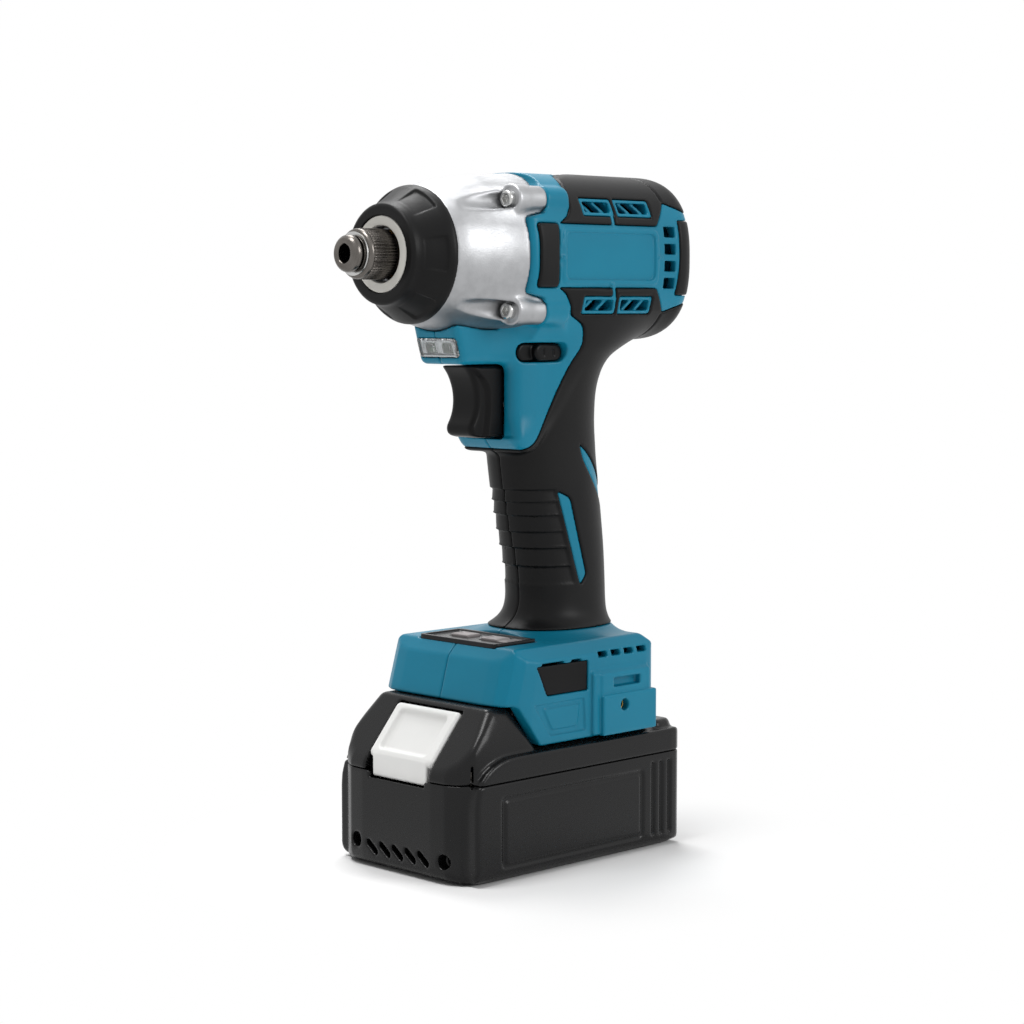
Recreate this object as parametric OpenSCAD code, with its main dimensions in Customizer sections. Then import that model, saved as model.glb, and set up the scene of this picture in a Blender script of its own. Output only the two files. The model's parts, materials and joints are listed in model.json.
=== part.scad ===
// Cordless impact driver with slide-on battery pack.
// Millimetres, +Z up, nose along -X, left side at -Y.
// Origin: middle of the battery's standing face.

/* [Overall] */
// Drive axis above the foot's deck
grip_h = 141.5; // [137:0.5:148]
// Deck above the foot's lower front edge
foot_h = 19.4; // [18:0.2:22]
// Gap of sliding pieces
slide_gap = 0.35; // [0.3:0.05:0.5]
// Radial gap of a shaft in its bore
run_gap = 0.05; // [0.02:0.01:0.1]
// Gap between fitted pieces
gap = 0.15; // [0.1:0.05:0.25]
// Reach of a cut past the surface
past = 2; // [1:0.5:3]
// Small step between faces
nib = 0.5; // [0.3:0.05:0.6]
// Small corner cut of outlines
corner_s = 1; // [0.5:0.1:1.5]
// Middle corner cut of outlines
corner_m = 3; // [2:0.5:3.5]
// Large corner cut of outlines
corner_l = 6; // [4:0.5:8]

/* [Drive axis] */
// Gear plate's front face behind the origin
plate_x = 5.5; // [4:0.5:7]
// Anvil tip ahead of the gear plate
tip_reach = 85.5; // [83:0.5:88]
// Nose face ahead of the gear plate
nose_reach = 68; // [67:0.5:69]
// Bumper's rear end ahead of the gear plate
bumper_reach = 53.7; // [52:0.1:54.5]
// Chamber's front ahead of the gear plate
chamber_reach = 53; // [52.5:0.1:53.5]
// Hammer's front ahead of the gear plate
hammer_reach = 46.5; // [46:0.1:47]

/* [Anvil and bit sleeve] */
// Anvil tip radius
anvil_r = 6.85; // [6.5:0.05:7.2]
// Anvil journal radius
journal_r = 7.5; // [7.3:0.1:8]
// Bit socket across flats
hex_af = 6.45; // [6.4:0.05:6.6]
// Bit socket depth
hex_depth = 22; // [18:0.5:24]
// Tip chamfer of the anvil
tip_chamfer = 0.9; // [0.4:0.1:1.2]
// Retaining ring behind the tip face
ring_setback = 4.3; // [3.5:0.1:5]
// Retaining ring thickness
ring_t = 0.8; // [0.6:0.1:1]
// Ring's groove depth
ring_groove = 0.75; // [0.5:0.05:0.9]
// Reach of the ring past the anvil
ring_stand = 0.85; // [0.5:0.05:1]
// Sleeve washer thickness
washer_t = 0.7; // [0.5:0.1:1]
// Bit sleeve outer radius
sleeve_r = 9; // [8.8:0.1:9.3]
// Bit sleeve wall
sleeve_wall = 0.8; // [0.6:0.1:0.9]
// Length of the sleeve's inner flange
sleeve_flange = 3.4; // [2.5:0.1:4]
// Sleeve's rear end inside the nose
sleeve_inset = 1; // [0.5:0.1:1.5]
// Length of the sleeve's collar
sleeve_collar = 2.8; // [2:0.1:4]
// Groove behind the collar: width and depth
groove_size = [1.2, 0.5]; // [0.3:0.1:2]
// Sleeve spring wire radius
sleeve_wire = 0.42; // [0.3:0.02:0.5]
// Radius of a bit-holding ball
detent_r = 1.5; // [1.2:0.1:1.6]
// Anvil hub radius
lug_hub_r = 11.5; // [10.5:0.5:12.5]
// Drive lug length
lug_l = 5.4; // [4.8:0.1:5.8]
// Angle that a drive lug spans
lug_angle = 50; // [40:5:60]

/* [Hammer case] */
// Nose recess radius
nose_bore_r = 9.8; // [9.6:0.1:10.2]
// Nose recess depth
nose_recess = 3.4; // [2.8:0.1:4]
// Anvil bush outer radius
bush_r = 10.5; // [10.3:0.1:11]
// Rear skirt wall
skirt_wall = 2; // [1.6:0.1:2.2]
// Outline: shares of length, radius
case_shares = [[0, 0.468], [0.165, 0.468], [0.297, 0.77], [0.323, 0.82], [0.41, 0.876],
  [0.58, 0.938], [0.8, 0.986], [1, 1]]; // [0:0.001:1]
// Case wall over the chamber
case_wall = 5.2; // [4.6:0.1:5.4]
// Case screws from the middle
screw_y = 22.5; // [21.5:0.5:23.5]
// Case screws above and below the axis
screw_z = 20; // [19:0.5:21]
// Screw boss radius
boss_r = 5; // [4.5:0.1:5.4]
// Case boss length
boss_l = 13.5; // [12:0.5:15]
// Their rear end ahead of the gear plate
boss_back = 12.5; // [12:0.5:14]
// Housing boss length
housing_boss_l = 16; // [14:0.5:18]
// Case screw: thread, head radius, height, key
case_screw = [2, 3, 2.6, 2.6]; // [1.8:0.1:3.3]
// End radius of the ridge ahead of a boss
ridge_r = 2.6; // [2:0.1:3]
// Ridge length
ridge_l = 20; // [16:0.5:22]
// Share of the ridge's run to the axis
ridge_drop = 0.68; // [0.6:0.01:0.75]

/* [Nose bumper] */
// Outline: shares of length, radius
bumper_shares = [[0, 0.685], [0.045, 0.722], [0.2, 0.735], [0.34, 0.79], [0.8, 0.968],
  [0.9, 0.995], [1, 0.995]]; // [0:0.001:1]
// Rubber over the case's shoulder
bumper_t = 0.95; // [0.7:0.05:1.4]
// Bumper past the nose face
bumper_lead = 0.7; // [0.4:0.1:1]
// Raised pads around the bumper
bumper_pads = 6; // [4:1:8]
// Angle that one pad spans
pad_angle = 34; // [24:2:40]
// Pad height
pad_stand = 0.9; // [0.6:0.1:1.2]

/* [Hammer and spindle] */
// Hammer's gap to the case
hammer_gap = 1; // [0.7:0.1:1.5]
// Hammer length
hammer_l = 20; // [18:0.5:20.5]
// Hammer recoil
hammer_recoil = 8; // [6:0.5:8]
// Inner radius of a hammer lug
hammer_lug_r = 13; // [12.8:0.1:14]
// Spindle radius
spindle_r = 9; // [8.5:0.1:9.5]
// Spindle pilot radius
pilot_r = 4; // [3.5:0.1:4.5]
// Spindle pilot length
pilot_l = 7; // [5:0.5:8]
// Hammer spring mean radius
hammer_coil_r = 13; // [12.6:0.1:13.4]
// Hammer spring wire radius
hammer_wire = 1.3; // [1:0.1:1.5]
// Spring pocket depth
spring_pocket = 13; // [11:0.5:14]
// Room of the spring in its pocket
spring_room = 0.8; // [0.6:0.1:1]
// Spring seat thickness
seat_t = 1.6; // [1.2:0.1:2]
// Spring seat outer radius
seat_r = 18; // [16:0.5:19.5]
// Cam ball radius
cam_ball_r = 2.75; // [2.5:0.05:2.9]
// Cam balls behind the hammer's front face
cam_ball_back = 12; // [11:0.5:13]

/* [Planet gears] */
// Gear module
gear_m = 0.8; // [0.79:0.005:0.81]
// Side play of each tooth flank
backlash = 0.09; // [0.06:0.01:0.12]
// Tooth tip height in modules
addendum = 0.95; // [0.9:0.05:1]
// Tooth root depth in modules
dedendum = 1.3; // [1.25:0.05:1.4]
// Planet gear width
gear_w = 8.5; // [7:0.5:9]
// Ring gear width
ring_w = 12; // [11.5:0.5:12]
// Ring gear wall
ring_wall = 3.61; // [3:0.01:3.7]
// Planet pin radius
pin_r = 2; // [1.6:0.1:2.4]
// Carrier plates: front and rear thickness
carrier_size = [4, 2.5]; // [2:0.1:4.2]
// Carrier plate radius
carrier_r = 16.8; // [16:0.1:17]
// Carrier posts: radius, distance
post_size = [2.3, 14]; // [2:0.1:14.3]
// Gears' gap to the carrier plates
gear_gap = 0.4; // [0.3:0.1:0.5]

/* [Gear plate and bearings] */
// Gear plate thickness
plate_t = 8; // [7.5:0.5:9]
// Gear plate radius
plate_r = 25.8; // [25:0.1:25.9]
// Spindle bearing: outer, bore radius, width
spindle_race = [13, 9, 4.5]; // [4:0.5:14]
// Front rotor bearing: outer, bore radius, width
front_race = [8, 2.5, 5]; // [2:0.5:9]
// Rear rotor bearing: outer, bore radius, width
rear_race = [9.5, 2.5, 6]; // [2:0.5:10]
// Front bearing's seat wall
seat_wall = 2.5; // [2:0.1:3]

/* [Motor] */
// Stator outer radius
stator_r = 24; // [23:0.1:24.2]
// Stator bore radius
stator_bore = 13.2; // [13:0.1:13.8]
// Stator core length
stator_l = 20; // [18:0.5:22]
// Coils behind the gear plate
coil_x = 14.6; // [14.2:0.1:15.5]
// Coil overhang at each end of the core
coil_over = 4; // [3:0.5:4.5]
// Stator tooth width
tooth_w = 6; // [5:0.5:6.5]
// Coil width
coil_w = 10.6; // [10:0.2:11]
// Back iron thickness
yoke_t = 4.6; // [4:0.1:5]
// Rotor radius
rotor_r = 12.6; // [12:0.1:12.7]
// Rotor shaft radius
shaft_r = 2.5; // [2.3:0.1:2.5]
// Fan radius
fan_r = 23; // [21:0.5:24]
// Fan length along the axis
fan_l = 8; // [6:0.5:8.5]
// Fan blade count
blades = 11; // [9:1:13]
// Fan wall thickness
fan_t = 1.4; // [1.2:0.1:1.8]
// Fan hub radius
fan_hub = 6; // [5:0.5:7]
// Gap between coils and fan
fan_gap = 2; // [1.5:0.5:2.5]
// Sensor board thickness
board_t = 1.2; // [1:0.1:1.6]

/* [Head of the housing] */
// Housing's front ahead of the gear plate
head_lead = 22.5; // [22:0.5:23]
// Head's end behind the gear plate
head_back = 67; // [66.5:0.5:69]
// Head half width
head_half_w = 30; // [29.5:0.1:30.5]
// Head half height
head_half_h = 31; // [30.5:0.1:31.5]
// Head's section squareness
head_square = 2.6; // [2.2:0.1:3]
// Outline: shares of length, section
head_shares = [[0, 0.985], [0.08, 1], [0.89, 1], [0.94, 0.985], [0.975, 0.93], [1, 0.84]]; // [0:0.001:1]
// Housing bore radius
head_bore_r = 27; // [26.5:0.1:27.2]
// Stator rib length
rib_l = 4; // [3:0.5:5]
// Solid end wall behind the fan
end_wall = 10; // [9:0.5:11]
// Corners used around the head
head_facets = 36; // [28:4:44]

/* [Handle] */
// Handle's base behind the origin
handle_x = 25; // [24:0.5:26]
// Forward lean of the handle
handle_rake = 8; // [7:0.5:9]
// Handle half depth
handle_half_d = 22; // [21:0.2:23]
// Handle half width
handle_half_w = 16.5; // [16:0.2:17.2]
// Handle's section squareness
handle_square = 2.3; // [2:0.1:2.8]
// Rows: height, lean, half depth, half width
handle_shares = [[0, 0.7, 1.16, 1.35], [0.03, 0.45, 1.06, 1.17], [0.07, 0.12, 0.94, 1.05], [0.13, 0,
    0.875, 1],
  [0.255, 0.2, 0.93, 0.985], [0.362, 0.5, 0.985, 0.985], [0.477, 0.77, 1, 0.99], [0.576, 0.97, 1, 1],
  [0.683, 1.05, 0.98, 1.03], [0.79, 0.94, 1.01, 1.09], [0.856, 0.66, 1.12, 1.21],
  [0.906, 0.2, 1.38, 1.38], [1, -0.4, 1.8, 1.65]]; // [-1:0.001:2]
// Top of the handle below the axis
handle_drop = 20; // [18:0.5:22]
// Handle wall
handle_wall = 3.6; // [3.4:0.1:4]
// Corners used around the handle
handle_facets = 28; // [20:4:36]

/* [Trigger housing] */
// Lamp nose ahead of the origin
lamp_x = 38.5; // [37.5:0.5:39.5]
// Lamp nose's tuck into the case
lamp_tuck = 4.2; // [3.5:0.1:5]
// Lamp nose half width
lamp_half_w = 12; // [11.6:0.2:13]
// Trigger housing half width
guard_half_w = 17; // [16.6:0.2:17.6]
// Trigger's opening below the case
guard_drop = 9.2; // [8.5:0.1:9.6]
// Trigger opening height
guard_h = 27; // [26:0.5:28]
// Trigger opening ahead of the origin
guard_x = 15.5; // [14.5:0.5:16]
// Lower lip ahead of that edge
lip_l = 11; // [9:0.5:12]
// Lower lip thickness
lip_t = 6.5; // [5:0.5:7]
// Lamp nose's front lean
lamp_lean = 4; // [3:0.5:5]
// Trigger housing behind the origin
guard_tail = 24; // [22:0.5:26]

/* [Soft overmould] */
// Overmould depth
skin_t = 1.5; // [1.2:0.1:1.6]
// Overmould height over the housing
skin_stand = 0.4; // [0.2:0.1:0.6]
// Overmould's low edge above the deck
skin_low = 6; // [5:0.5:8]
// Head overmould behind the gear plate
skin_front = 21.5; // [20:0.5:23]
// Vent strips behind the gear plate
strip_front = 5.5; // [5:0.5:7]
// Overmould ahead of the head's end
skin_rear = 5; // [4:0.5:6]
// Vent strips' inner edge from the axis
strip_z = 12.6; // [12:0.2:13.4]
// Upper strip's outer edge from the axis
strip_top = 24.5; // [24:0.5:26]
// Lower strip's front end over the lever
skin_rise = 12; // [11:0.5:13]
// Grip's front edge at the lever
skin_tip = 17; // [16:0.5:18]
// Grip's front edge beside the trigger
skin_mid = 2; // [1:0.5:3]
// Side pad: length, height and thickness
side_pad_size = [10.2, 22.5, 2.4]; // [2:0.1:24]
// Side pad behind the housing's front edge
side_pad_x = 3.6; // [3:0.2:4.5]
// Sink of the side pad in the housing
side_pad_sink = 1.8; // [1.4:0.1:2]

/* [Vents] */
// Rear vent: length and height
rear_vent = [5.4, 2.9]; // [2:0.1:7]
// Rear vents behind the gear plate
rear_vent_x = 49; // [48:0.5:50]
// Rear vent spacing
rear_vent_pitch = 6.4; // [5.5:0.1:7]
// Rear vents a side
rear_vents = 4; // [3:1:4]
// Strip vent: length and height
strip_vent = [17, 4.6]; // [3:0.1:19]
// Strip vents behind the gear plate
strip_vent_x = 11.5; // [10.5:0.5:12]
// Strip vent spacing
strip_vent_pitch = 19; // [18.5:0.5:20]
// Strip vents a strip
strip_vents = 2; // [1:1:2]
// Strip vents from the axis
strip_vent_z = 18.2; // [17.6:0.2:19]

/* [Trigger and lever] */
// Trigger's reach ahead of its opening
trigger_reach = 9.5; // [8:0.5:10.5]
// Trigger half width
trigger_half_w = 9; // [8.5:0.1:9.2]
// Finger face hollow
trigger_hollow = 1.8; // [1:0.1:2.4]
// Toe of the trigger ahead of its face
trigger_toe = 1.4; // [0.5:0.1:2]
// Trigger's tail behind its opening
trigger_tail = 4.5; // [4:0.5:5]
// Trigger pull
trigger_travel = 6.5; // [5:0.5:6.5]
// Stem of the trigger: length, half width, height
stem_size = [16, 3, 5]; // [2.5:0.5:18]
// Stem's top below the trigger's top
stem_drop = 3; // [2:0.5:4]
// Trigger spring: mean, wire radius
trigger_coil = [3, 0.45]; // [0.3:0.05:3.4]
// Trigger spring's seat in the trigger
trigger_seat = 6; // [5:0.5:7]
// Switch: length, half width, height
switch_size = [26, 9.4, 23]; // [8:0.5:28]
// Pulled trigger's gap to the switch
switch_gap = 0.8; // [0.6:0.1:1]
// Lever button: length, height
lever_size = [13, 5.6]; // [5:0.1:14]
// Lever button's front ahead of the origin
lever_x = 3.2; // [2.5:0.1:4]
// Lever above that opening
lever_rise = 3.2; // [2.8:0.1:3.4]
// Thrown lever's reach past its recess
lever_stand = 1.5; // [1:0.5:2.5]
// Lever throw to each side
lever_throw = 2.5; // [2:0.5:3]
// Lever recess ahead of the lever
lever_recess = 7; // [6:0.5:8]
// Lever recess depth
lever_recess_d = 3; // [2:0.5:3.5]

/* [Work light] */
// Lens: half width, height
lens_size = [10, 6.8]; // [6:0.1:11]
// Lens above the trigger opening
lens_z = 1.7; // [1.4:0.1:2.2]
// Lens thickness
lens_t = 2.4; // [2:0.1:3]
// Lens's reach past the nose
lens_stand = 0.3; // [0.2:0.1:0.5]
// Lamp board thickness
lamp_board_t = 1.4; // [1:0.1:1.6]
// Lamp size
lamp_size = [1.2, 3.4, 3.4]; // [1:0.1:4]
// Lamps from the middle
lamp_y = 5.5; // [4.5:0.5:6]

/* [Foot] */
// Foot's front ahead of the origin
foot_front = 35.5; // [35:0.5:36.5]
// Foot's rear behind the origin
foot_rear = 44.5; // [44:0.5:46]
// Foot's front face lean
foot_lean = 5; // [4:0.5:6]
// Deck behind the foot's front
foot_top = 9; // [8:0.5:10]
// Foot half width
foot_half_w = 35; // [34.5:0.1:35.4]
// Lower front edge above the side edge
foot_side_h = 16; // [15.6:0.2:17]
// Gap between foot and battery
foot_gap = 1; // [0.8:0.1:1.4]
// Side edge ahead of the origin
foot_low_x = 17.7; // [17:0.1:18.5]
// Slanting edge ahead of the origin
foot_slant_x = 28.3; // [27.5:0.1:29]
// Corner of the foot's plan
foot_corner = 13; // [11:0.5:15]
// Top edge bevel of the foot
foot_bevel = 4; // [3:0.5:5]
// Battery channel half width
channel_half_w = 29.2; // [28.8:0.1:29.4]
// Half width between the channel's rails
rail_half_w = 25.6; // [25.2:0.1:26]
// Rail height
rail_h = 3.2; // [3:0.1:3.6]
// Wall behind the channel
foot_wall = 4; // [3.5:0.1:4.4]
// Hook lug: length, height, thickness
lug_size = [31, 28.5, 3.4]; // [3:0.1:32]
// Hook lug's front end behind the origin
lug_x = 10; // [9:0.5:10.5]
// Hook hole behind the origin
hook_x = 23.5; // [22:0.5:25]
// Hook hole above the foot's lower edge
hook_z = 10.8; // [10:0.2:12]
// Hook insert radius
insert_r = 3.4; // [3.2:0.1:3.6]
// Hook insert length
insert_l = 5; // [4.5:0.1:5.4]

/* [Control panel] */
// Panel: length, half width, thickness
panel_size = [22, 21, 1.8]; // [1.6:0.1:23]
// Panel's front edge ahead of the origin
panel_x = 27; // [26:0.5:27.5]
// Panel's height over the deck
panel_stand = 0.5; // [0.3:0.1:0.8]
// Key: length, width, height
key_size = [7, 9, 3]; // [2.6:0.1:10]
// Keys from the middle
key_y = 8; // [7:0.5:9]
// Keys behind the panel's front edge
key_x = 9; // [8:0.5:10]
// Keys over the panel
key_stand = 0.9; // [0.8:0.1:1.1]

/* [Electronics] */
// Terminal block: height of its plate
block_h = 3.5; // [3:0.1:4]
// Terminal housing: length, half width, height
block_box = [24, 19, 6]; // [5:0.5:26]
// Blade: length, thickness, height
blade_size = [22, 0.8, 12.5]; // [0.6:0.1:24]
// Blades from the middle
blade_y = 14; // [13:0.5:15]
// Blades' front end behind the origin
blade_x = 14; // [13:0.5:15]
// Controller board: length, half width, thickness
control_size = [28, 25, 1.6]; // [1.4:0.1:30]
// Heat sink plate: inset, height
sink_size = [2.5, 3]; // [2:0.5:4]
// Battery and motor leads behind the origin
lead_x = [22, 32]; // [20:0.5:36]
// Lead passage half width
passage_w = 9; // [8:0.5:10]
// Lead radius
lead_r = 1.3; // [1:0.1:1.5]
// Leads' spacing
lead_pitch = 4.2; // [3.8:0.1:4.6]

/* [Housing screws] */
// Housing screws' thread radius
body_screw_r = 1.5; // [1.3:0.1:1.7]
// Housing screw head: radius, height
body_screw_head = [2.8, 2.2]; // [1.8:0.1:3]
// Housing screw boss radius
body_boss_r = 3.6; // [3.4:0.1:4]
// Nose screw ahead of the origin
nose_screw_x = 22; // [21:0.5:23]
// Handle screws behind the origin
handle_screw_x = [24, 31]; // [22:0.5:32]
// Handle screws below trigger, above deck
handle_screw_z = [8, 15]; // [7:0.5:16]
// Foot screws above the terminal block
foot_screw_z = 5.5; // [4.5:0.5:6]
// Rear screws ahead of the head's rear end
end_screw_x = 5.5; // [5:0.5:6]
// Screw heads from the middle: handle, foot, rear
screw_sink = [11.5, 27, 18]; // [10:0.5:28]
// Reach of the screws into the left half
body_screw_reach = 8; // [7:0.5:9]

/* [Battery] */
// Cells behind the battery's front
pack_nose = 14.8; // [14.5:0.1:16]
// Side wall beside the cells
pack_side = 2; // [1.8:0.1:2.5]
// Side cheek thickness
cheek_t = 3; // [2.5:0.1:3.2]
// Cheeks behind the battery's front
cheek_x = 6; // [5:0.5:8]
// Upper case's shelf above the seam
cover_h = 9.4; // [9:0.1:10]
// Room over the pack board
board_room = 0.45; // [0.3:0.05:0.7]
// Tower below the foot's front edge
tower_drop = 1; // [0.8:0.1:1.6]
// Front slope's length
slope_l = 19.5; // [18.5:0.5:20.5]
// Front slope's start above the seam
slope_lift = 2.4; // [2:0.1:3]
// Corner of the battery's plan
pack_corner = 12; // [10:0.5:14]
// Rounding of the lower rear edge
pack_round = 9; // [7:0.5:11]
// Lower front bevel: length and height
pack_bevel = [8, 14]; // [7:0.5:16]
// Battery case wall
pack_wall = 2.4; // [2.2:0.1:2.6]
// Rear end of the tower behind the origin
tower_rear = 39; // [38:0.5:39.5]
// Gap of the tower in its channel
tower_gap = 0.5; // [0.4:0.1:0.6]
// Rear ridge height
hump_h = 2.4; // [1.5:0.1:3]
// Gap between that ridge and the foot
hump_gap = 1.5; // [1:0.1:2]

/* [Latch] */
// Latch plate half width
latch_half_w = 17; // [16:0.5:18]
// Latch plate thickness
latch_t = 3; // [2.6:0.1:3.2]
// Latch plate's ends, as shares of the slope
latch_span = [0.15, 0.92]; // [0.1:0.01:0.95]
// Skirt of the latch below the slope
latch_skirt = 7; // [6:0.5:8]
// Press of the latch
latch_travel = 3.5; // [3:0.5:4]
// Latch springs: mean, wire radius
latch_coil = [2.2, 0.35]; // [0.3:0.05:2.4]
// Latch springs from the middle
latch_spring_y = 9; // [8:0.5:10]
// Latch springs behind the battery's front
latch_spring_back = 12.3; // [12:0.1:12.6]
// Latch spring length
latch_spring_l = 6; // [5.8:0.1:6.4]
// Posts over the latch springs
latch_post = 5; // [4.5:0.1:5.2]

/* [Cells] */
// Cell radius
cell_r = 9; // [8.9:0.05:9.05]
// Cell length
cell_l = 65; // [64:0.5:65]
// Cell spacing
cell_pitch = 18.6; // [18.5:0.05:18.7]
// Battery's rear end behind the cells
pack_tail = 7.8; // [7.6:0.1:9]
// Cell frames: thickness, inset
frame_size = [4, 4]; // [3:0.5:5]
// Pack board: length, half width, thickness
pack_board = [74, 18, 1.6]; // [1.4:0.1:80]
// Contact: length, leaf thickness, height
contact_size = [12, 0.6, 13]; // [0.5:0.1:14]
// Battery screw: thread, head radius, height
pack_screw = [1.2, 2.4, 1.8]; // [1:0.1:2.5]
// Case screws from the battery's sides
pack_screw_side = 5.4; // [5:0.1:6]
// Case screw seat depth
pack_screw_z = 6; // [5.5:0.1:7]
// Case screw boss radius
pack_boss_r = 3.6; // [3.4:0.1:3.7]
// Upper end of the case screws
pack_screw_top = 41; // [39:0.5:41.5]

/* [Hidden] */
$fn = 48;
hull_fn = 24;
coil_seg = 14;
wire_seg = 6;
corner_steps = 5;
eps = 0.01;
half = 1 / 2;
wide = 400;
sun_teeth = 12;
planet_teeth = 18;
ring_teeth = sun_teeth + 2 * planet_teeth;
planets = 3;
pressure = 20;
slots = 6;
columns = 5;
tiers = 2;
hook_r = 2;
cell_z0 = pack_wall + cell_r + corner_s;
frame_top = cell_z0 + cell_pitch + cell_r + corner_s;
board_z = frame_top + gap;
shelf_z = board_z + pack_board[2] + board_room + pack_wall;
seam_z = shelf_z - cover_h;
foot_low_z = shelf_z + foot_gap;
foot_front_z = foot_low_z + foot_side_h;
tower_z = foot_front_z - tower_drop;
deck_z = foot_front_z + foot_h;
axis_z = deck_z + grip_h;
pack_half_w = cell_l * half + pack_side;
pack_half_l = (pack_nose + (columns - 1) * cell_pitch + 2 * cell_r + pack_tail) * half;
cell_shift = (pack_nose - pack_tail) * half;
ring_r = gear_m * (ring_teeth * half + dedendum) + ring_wall;
chamber_r = ring_r + gap;
hammer_r = chamber_r - hammer_gap;
skirt_r = chamber_r + skirt_wall;
case_r = chamber_r + case_wall;
// Places along the drive axis
tip_x = plate_x - tip_reach;
nose_x = plate_x - nose_reach;
bumper_x = nose_x - bumper_lead;
bumper_r = case_shares[3][1] * case_r + bumper_t;
bumper_end = plate_x - bumper_reach;
bumper_l = bumper_end - bumper_x;
chamber_x = plate_x - chamber_reach;
hammer_x = plate_x - hammer_reach;
hammer_end = hammer_x + hammer_l;
bush_x = nose_x + nose_recess;
ring_at = tip_x + ring_setback;
washer_x = ring_at + ring_t + gap;
sleeve_x = washer_x - gap;
sleeve_end = nose_x + sleeve_inset;
sleeve_bore = sleeve_r - sleeve_wall;
flange_x = sleeve_end - sleeve_flange;
detent_x = sleeve_end - sleeve_flange * half;
detent_reach = anvil_r - detent_r - gap;
journal_x = sleeve_end + gear_gap;
anvil_end = hammer_x - gear_gap;
carrier_x1 = plate_x - nib;
carrier_x0 = carrier_x1 - carrier_size[1];
planet_x1 = carrier_x0 - gear_gap;
planet_x0 = planet_x1 - gear_w;
flange_x1 = planet_x0 - gear_gap;
flange_x0 = flange_x1 - carrier_size[0];
seat_x = flange_x0 - seat_t;
spring_x = hammer_end - spring_pocket;
cam_x = hammer_x + cam_ball_back;
orbit = gear_m * (sun_teeth + planet_teeth) * half;
sun_tip = sun_teeth * gear_m * half + addendum * gear_m;
hub_x1 = plate_x + gap + spindle_race[2];
plate_end = plate_x + plate_t;
bearing_x = plate_end + gap;
coil_x0 = plate_x + coil_x;
coil_x1 = coil_x0 + stator_l + 2 * coil_over;
core_x0 = coil_x0 + coil_over;
core_x1 = core_x0 + stator_l;
fan_x = coil_x1 + fan_gap;
head_x0 = plate_x - head_lead;
head_x1 = plate_x + head_back;
head_l = head_x1 - head_x0;
bore_end = head_x1 - end_wall;
rear_bearing_x = bore_end + gap;
case_back = plate_x - head_lead;
boss_x1 = plate_x - boss_back;
boss_x0 = boss_x1 - boss_l;
handle_z = deck_z - past;
handle_h = axis_z - handle_drop - handle_z;
guard_z1 = axis_z - case_r - guard_drop;
lamp_z1 = axis_z - case_r + lamp_tuck;
guard_z0 = guard_z1 - guard_h;
lever_z = guard_z1 + lever_rise;
lever_half_y = guard_half_w - lever_recess_d + lever_throw + lever_stand;
trigger_back = trigger_tail - guard_x;
trigger_coil_z = guard_z0 + guard_h * 0.38;
switch_x = trigger_back + trigger_travel + switch_gap;
lens_z0 = guard_z1 + lens_z;
channel_z = tower_z + tower_gap;
block_z = channel_z + gap;
box_z = block_z + block_h + gap;
room_z = deck_z - foot_wall;
room_x = foot_rear - foot_wall;
tower_half_w = channel_half_w - tower_gap;
neck_half_w = rail_half_w - tower_gap;
neck_z = foot_low_z + rail_h + tower_gap;
pack_front = -pack_half_l;
slope_x = slope_l - pack_half_l;
slope_z = seam_z + slope_lift;
slope_h = tower_z - slope_z;
slope_n = [-slope_h, slope_l] / norm([slope_h, slope_l]);
latch_lo = [pack_front, slope_z] + latch_span[0] * [slope_l, slope_h];
latch_hi = [pack_front, slope_z] + latch_span[1] * [slope_l, slope_h];
latch_back = latch_t + latch_travel;
latch_seat = seam_z + past;
latch_spring_x = pack_front + latch_spring_back;
latch_post_z = latch_seat + latch_spring_l;
cover_x = latch_spring_x + latch_post * half + slide_gap + corner_s;
frame_z0 = pack_wall + gap;
frame_y = cell_l * half - frame_size[1];
body_screws = [[-nose_screw_x, lever_z + nib, screw_sink[0]],
  [handle_screw_x[0], guard_z0 - handle_screw_z[0], screw_sink[0]],
  [handle_screw_x[1], deck_z + handle_screw_z[1], screw_sink[0]],
  [lead_x[1] + lead_r + body_boss_r + gap, box_z + foot_screw_z, screw_sink[1]], [foot_lean - foot_front, box_z + foot_screw_z,
      screw_sink[1]],
  [head_x1 - end_screw_x, axis_z + screw_z, screw_sink[2]], [head_x1 - end_screw_x, axis_z - screw_z,
      screw_sink[2]]];

// Shapes used by several pieces

function flat(rows) = [for (r = rows) each r];
function closed_faces(m, n) = concat(
  [[for (j = [0 : n - 1]) j]],
  [[for (j = [n - 1 : -1 : 0]) (m - 1) * n + j]],
  [for (i = [0 : m - 2], j = [0 : n - 1])
    [i * n + j, (i + 1) * n + j, (i + 1) * n + (j + 1) % n]],
  [for (i = [0 : m - 2], j = [0 : n - 1])
    [i * n + j, (i + 1) * n + (j + 1) % n, i * n + (j + 1) % n]]);
function power(c, e) = sign(c) * pow(abs(c), 2 / e);
function oval(n, e) = [for (i = [0 : n - 1]) let (t = 360 * (i + half) / n) [power(cos(t), e),
    power(sin(t), e)]];
// Rounds each corner [x, y, cut]
function bend(pts) = [for (i = [0 : len(pts) - 1])
  let (p = pts[i], a = pts[(i + len(pts) - 1) % len(pts)], b = pts[(i + 1) % len(pts)],
    c = [p[0], p[1]], u = [a[0], a[1]] - c, v = [b[0], b[1]] - c,
    t = min(p[2], norm(u) * 0.48, norm(v) * 0.48), s = c + u * t / norm(u), e = c + v * t / norm(v))
  each p[2] > 0
    ? [for (k = [0 : corner_steps]) let (f = k / corner_steps)
      (1 - f) * (1 - f) * s + 2 * f * (1 - f) * c + f * f * e]
    : [c]];

function round_box(x0, y0, x1, y1, c) = bend([[x0, y0, c], [x1, y0, c], [x1, y1, c], [x0, y1, c]]);

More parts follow.
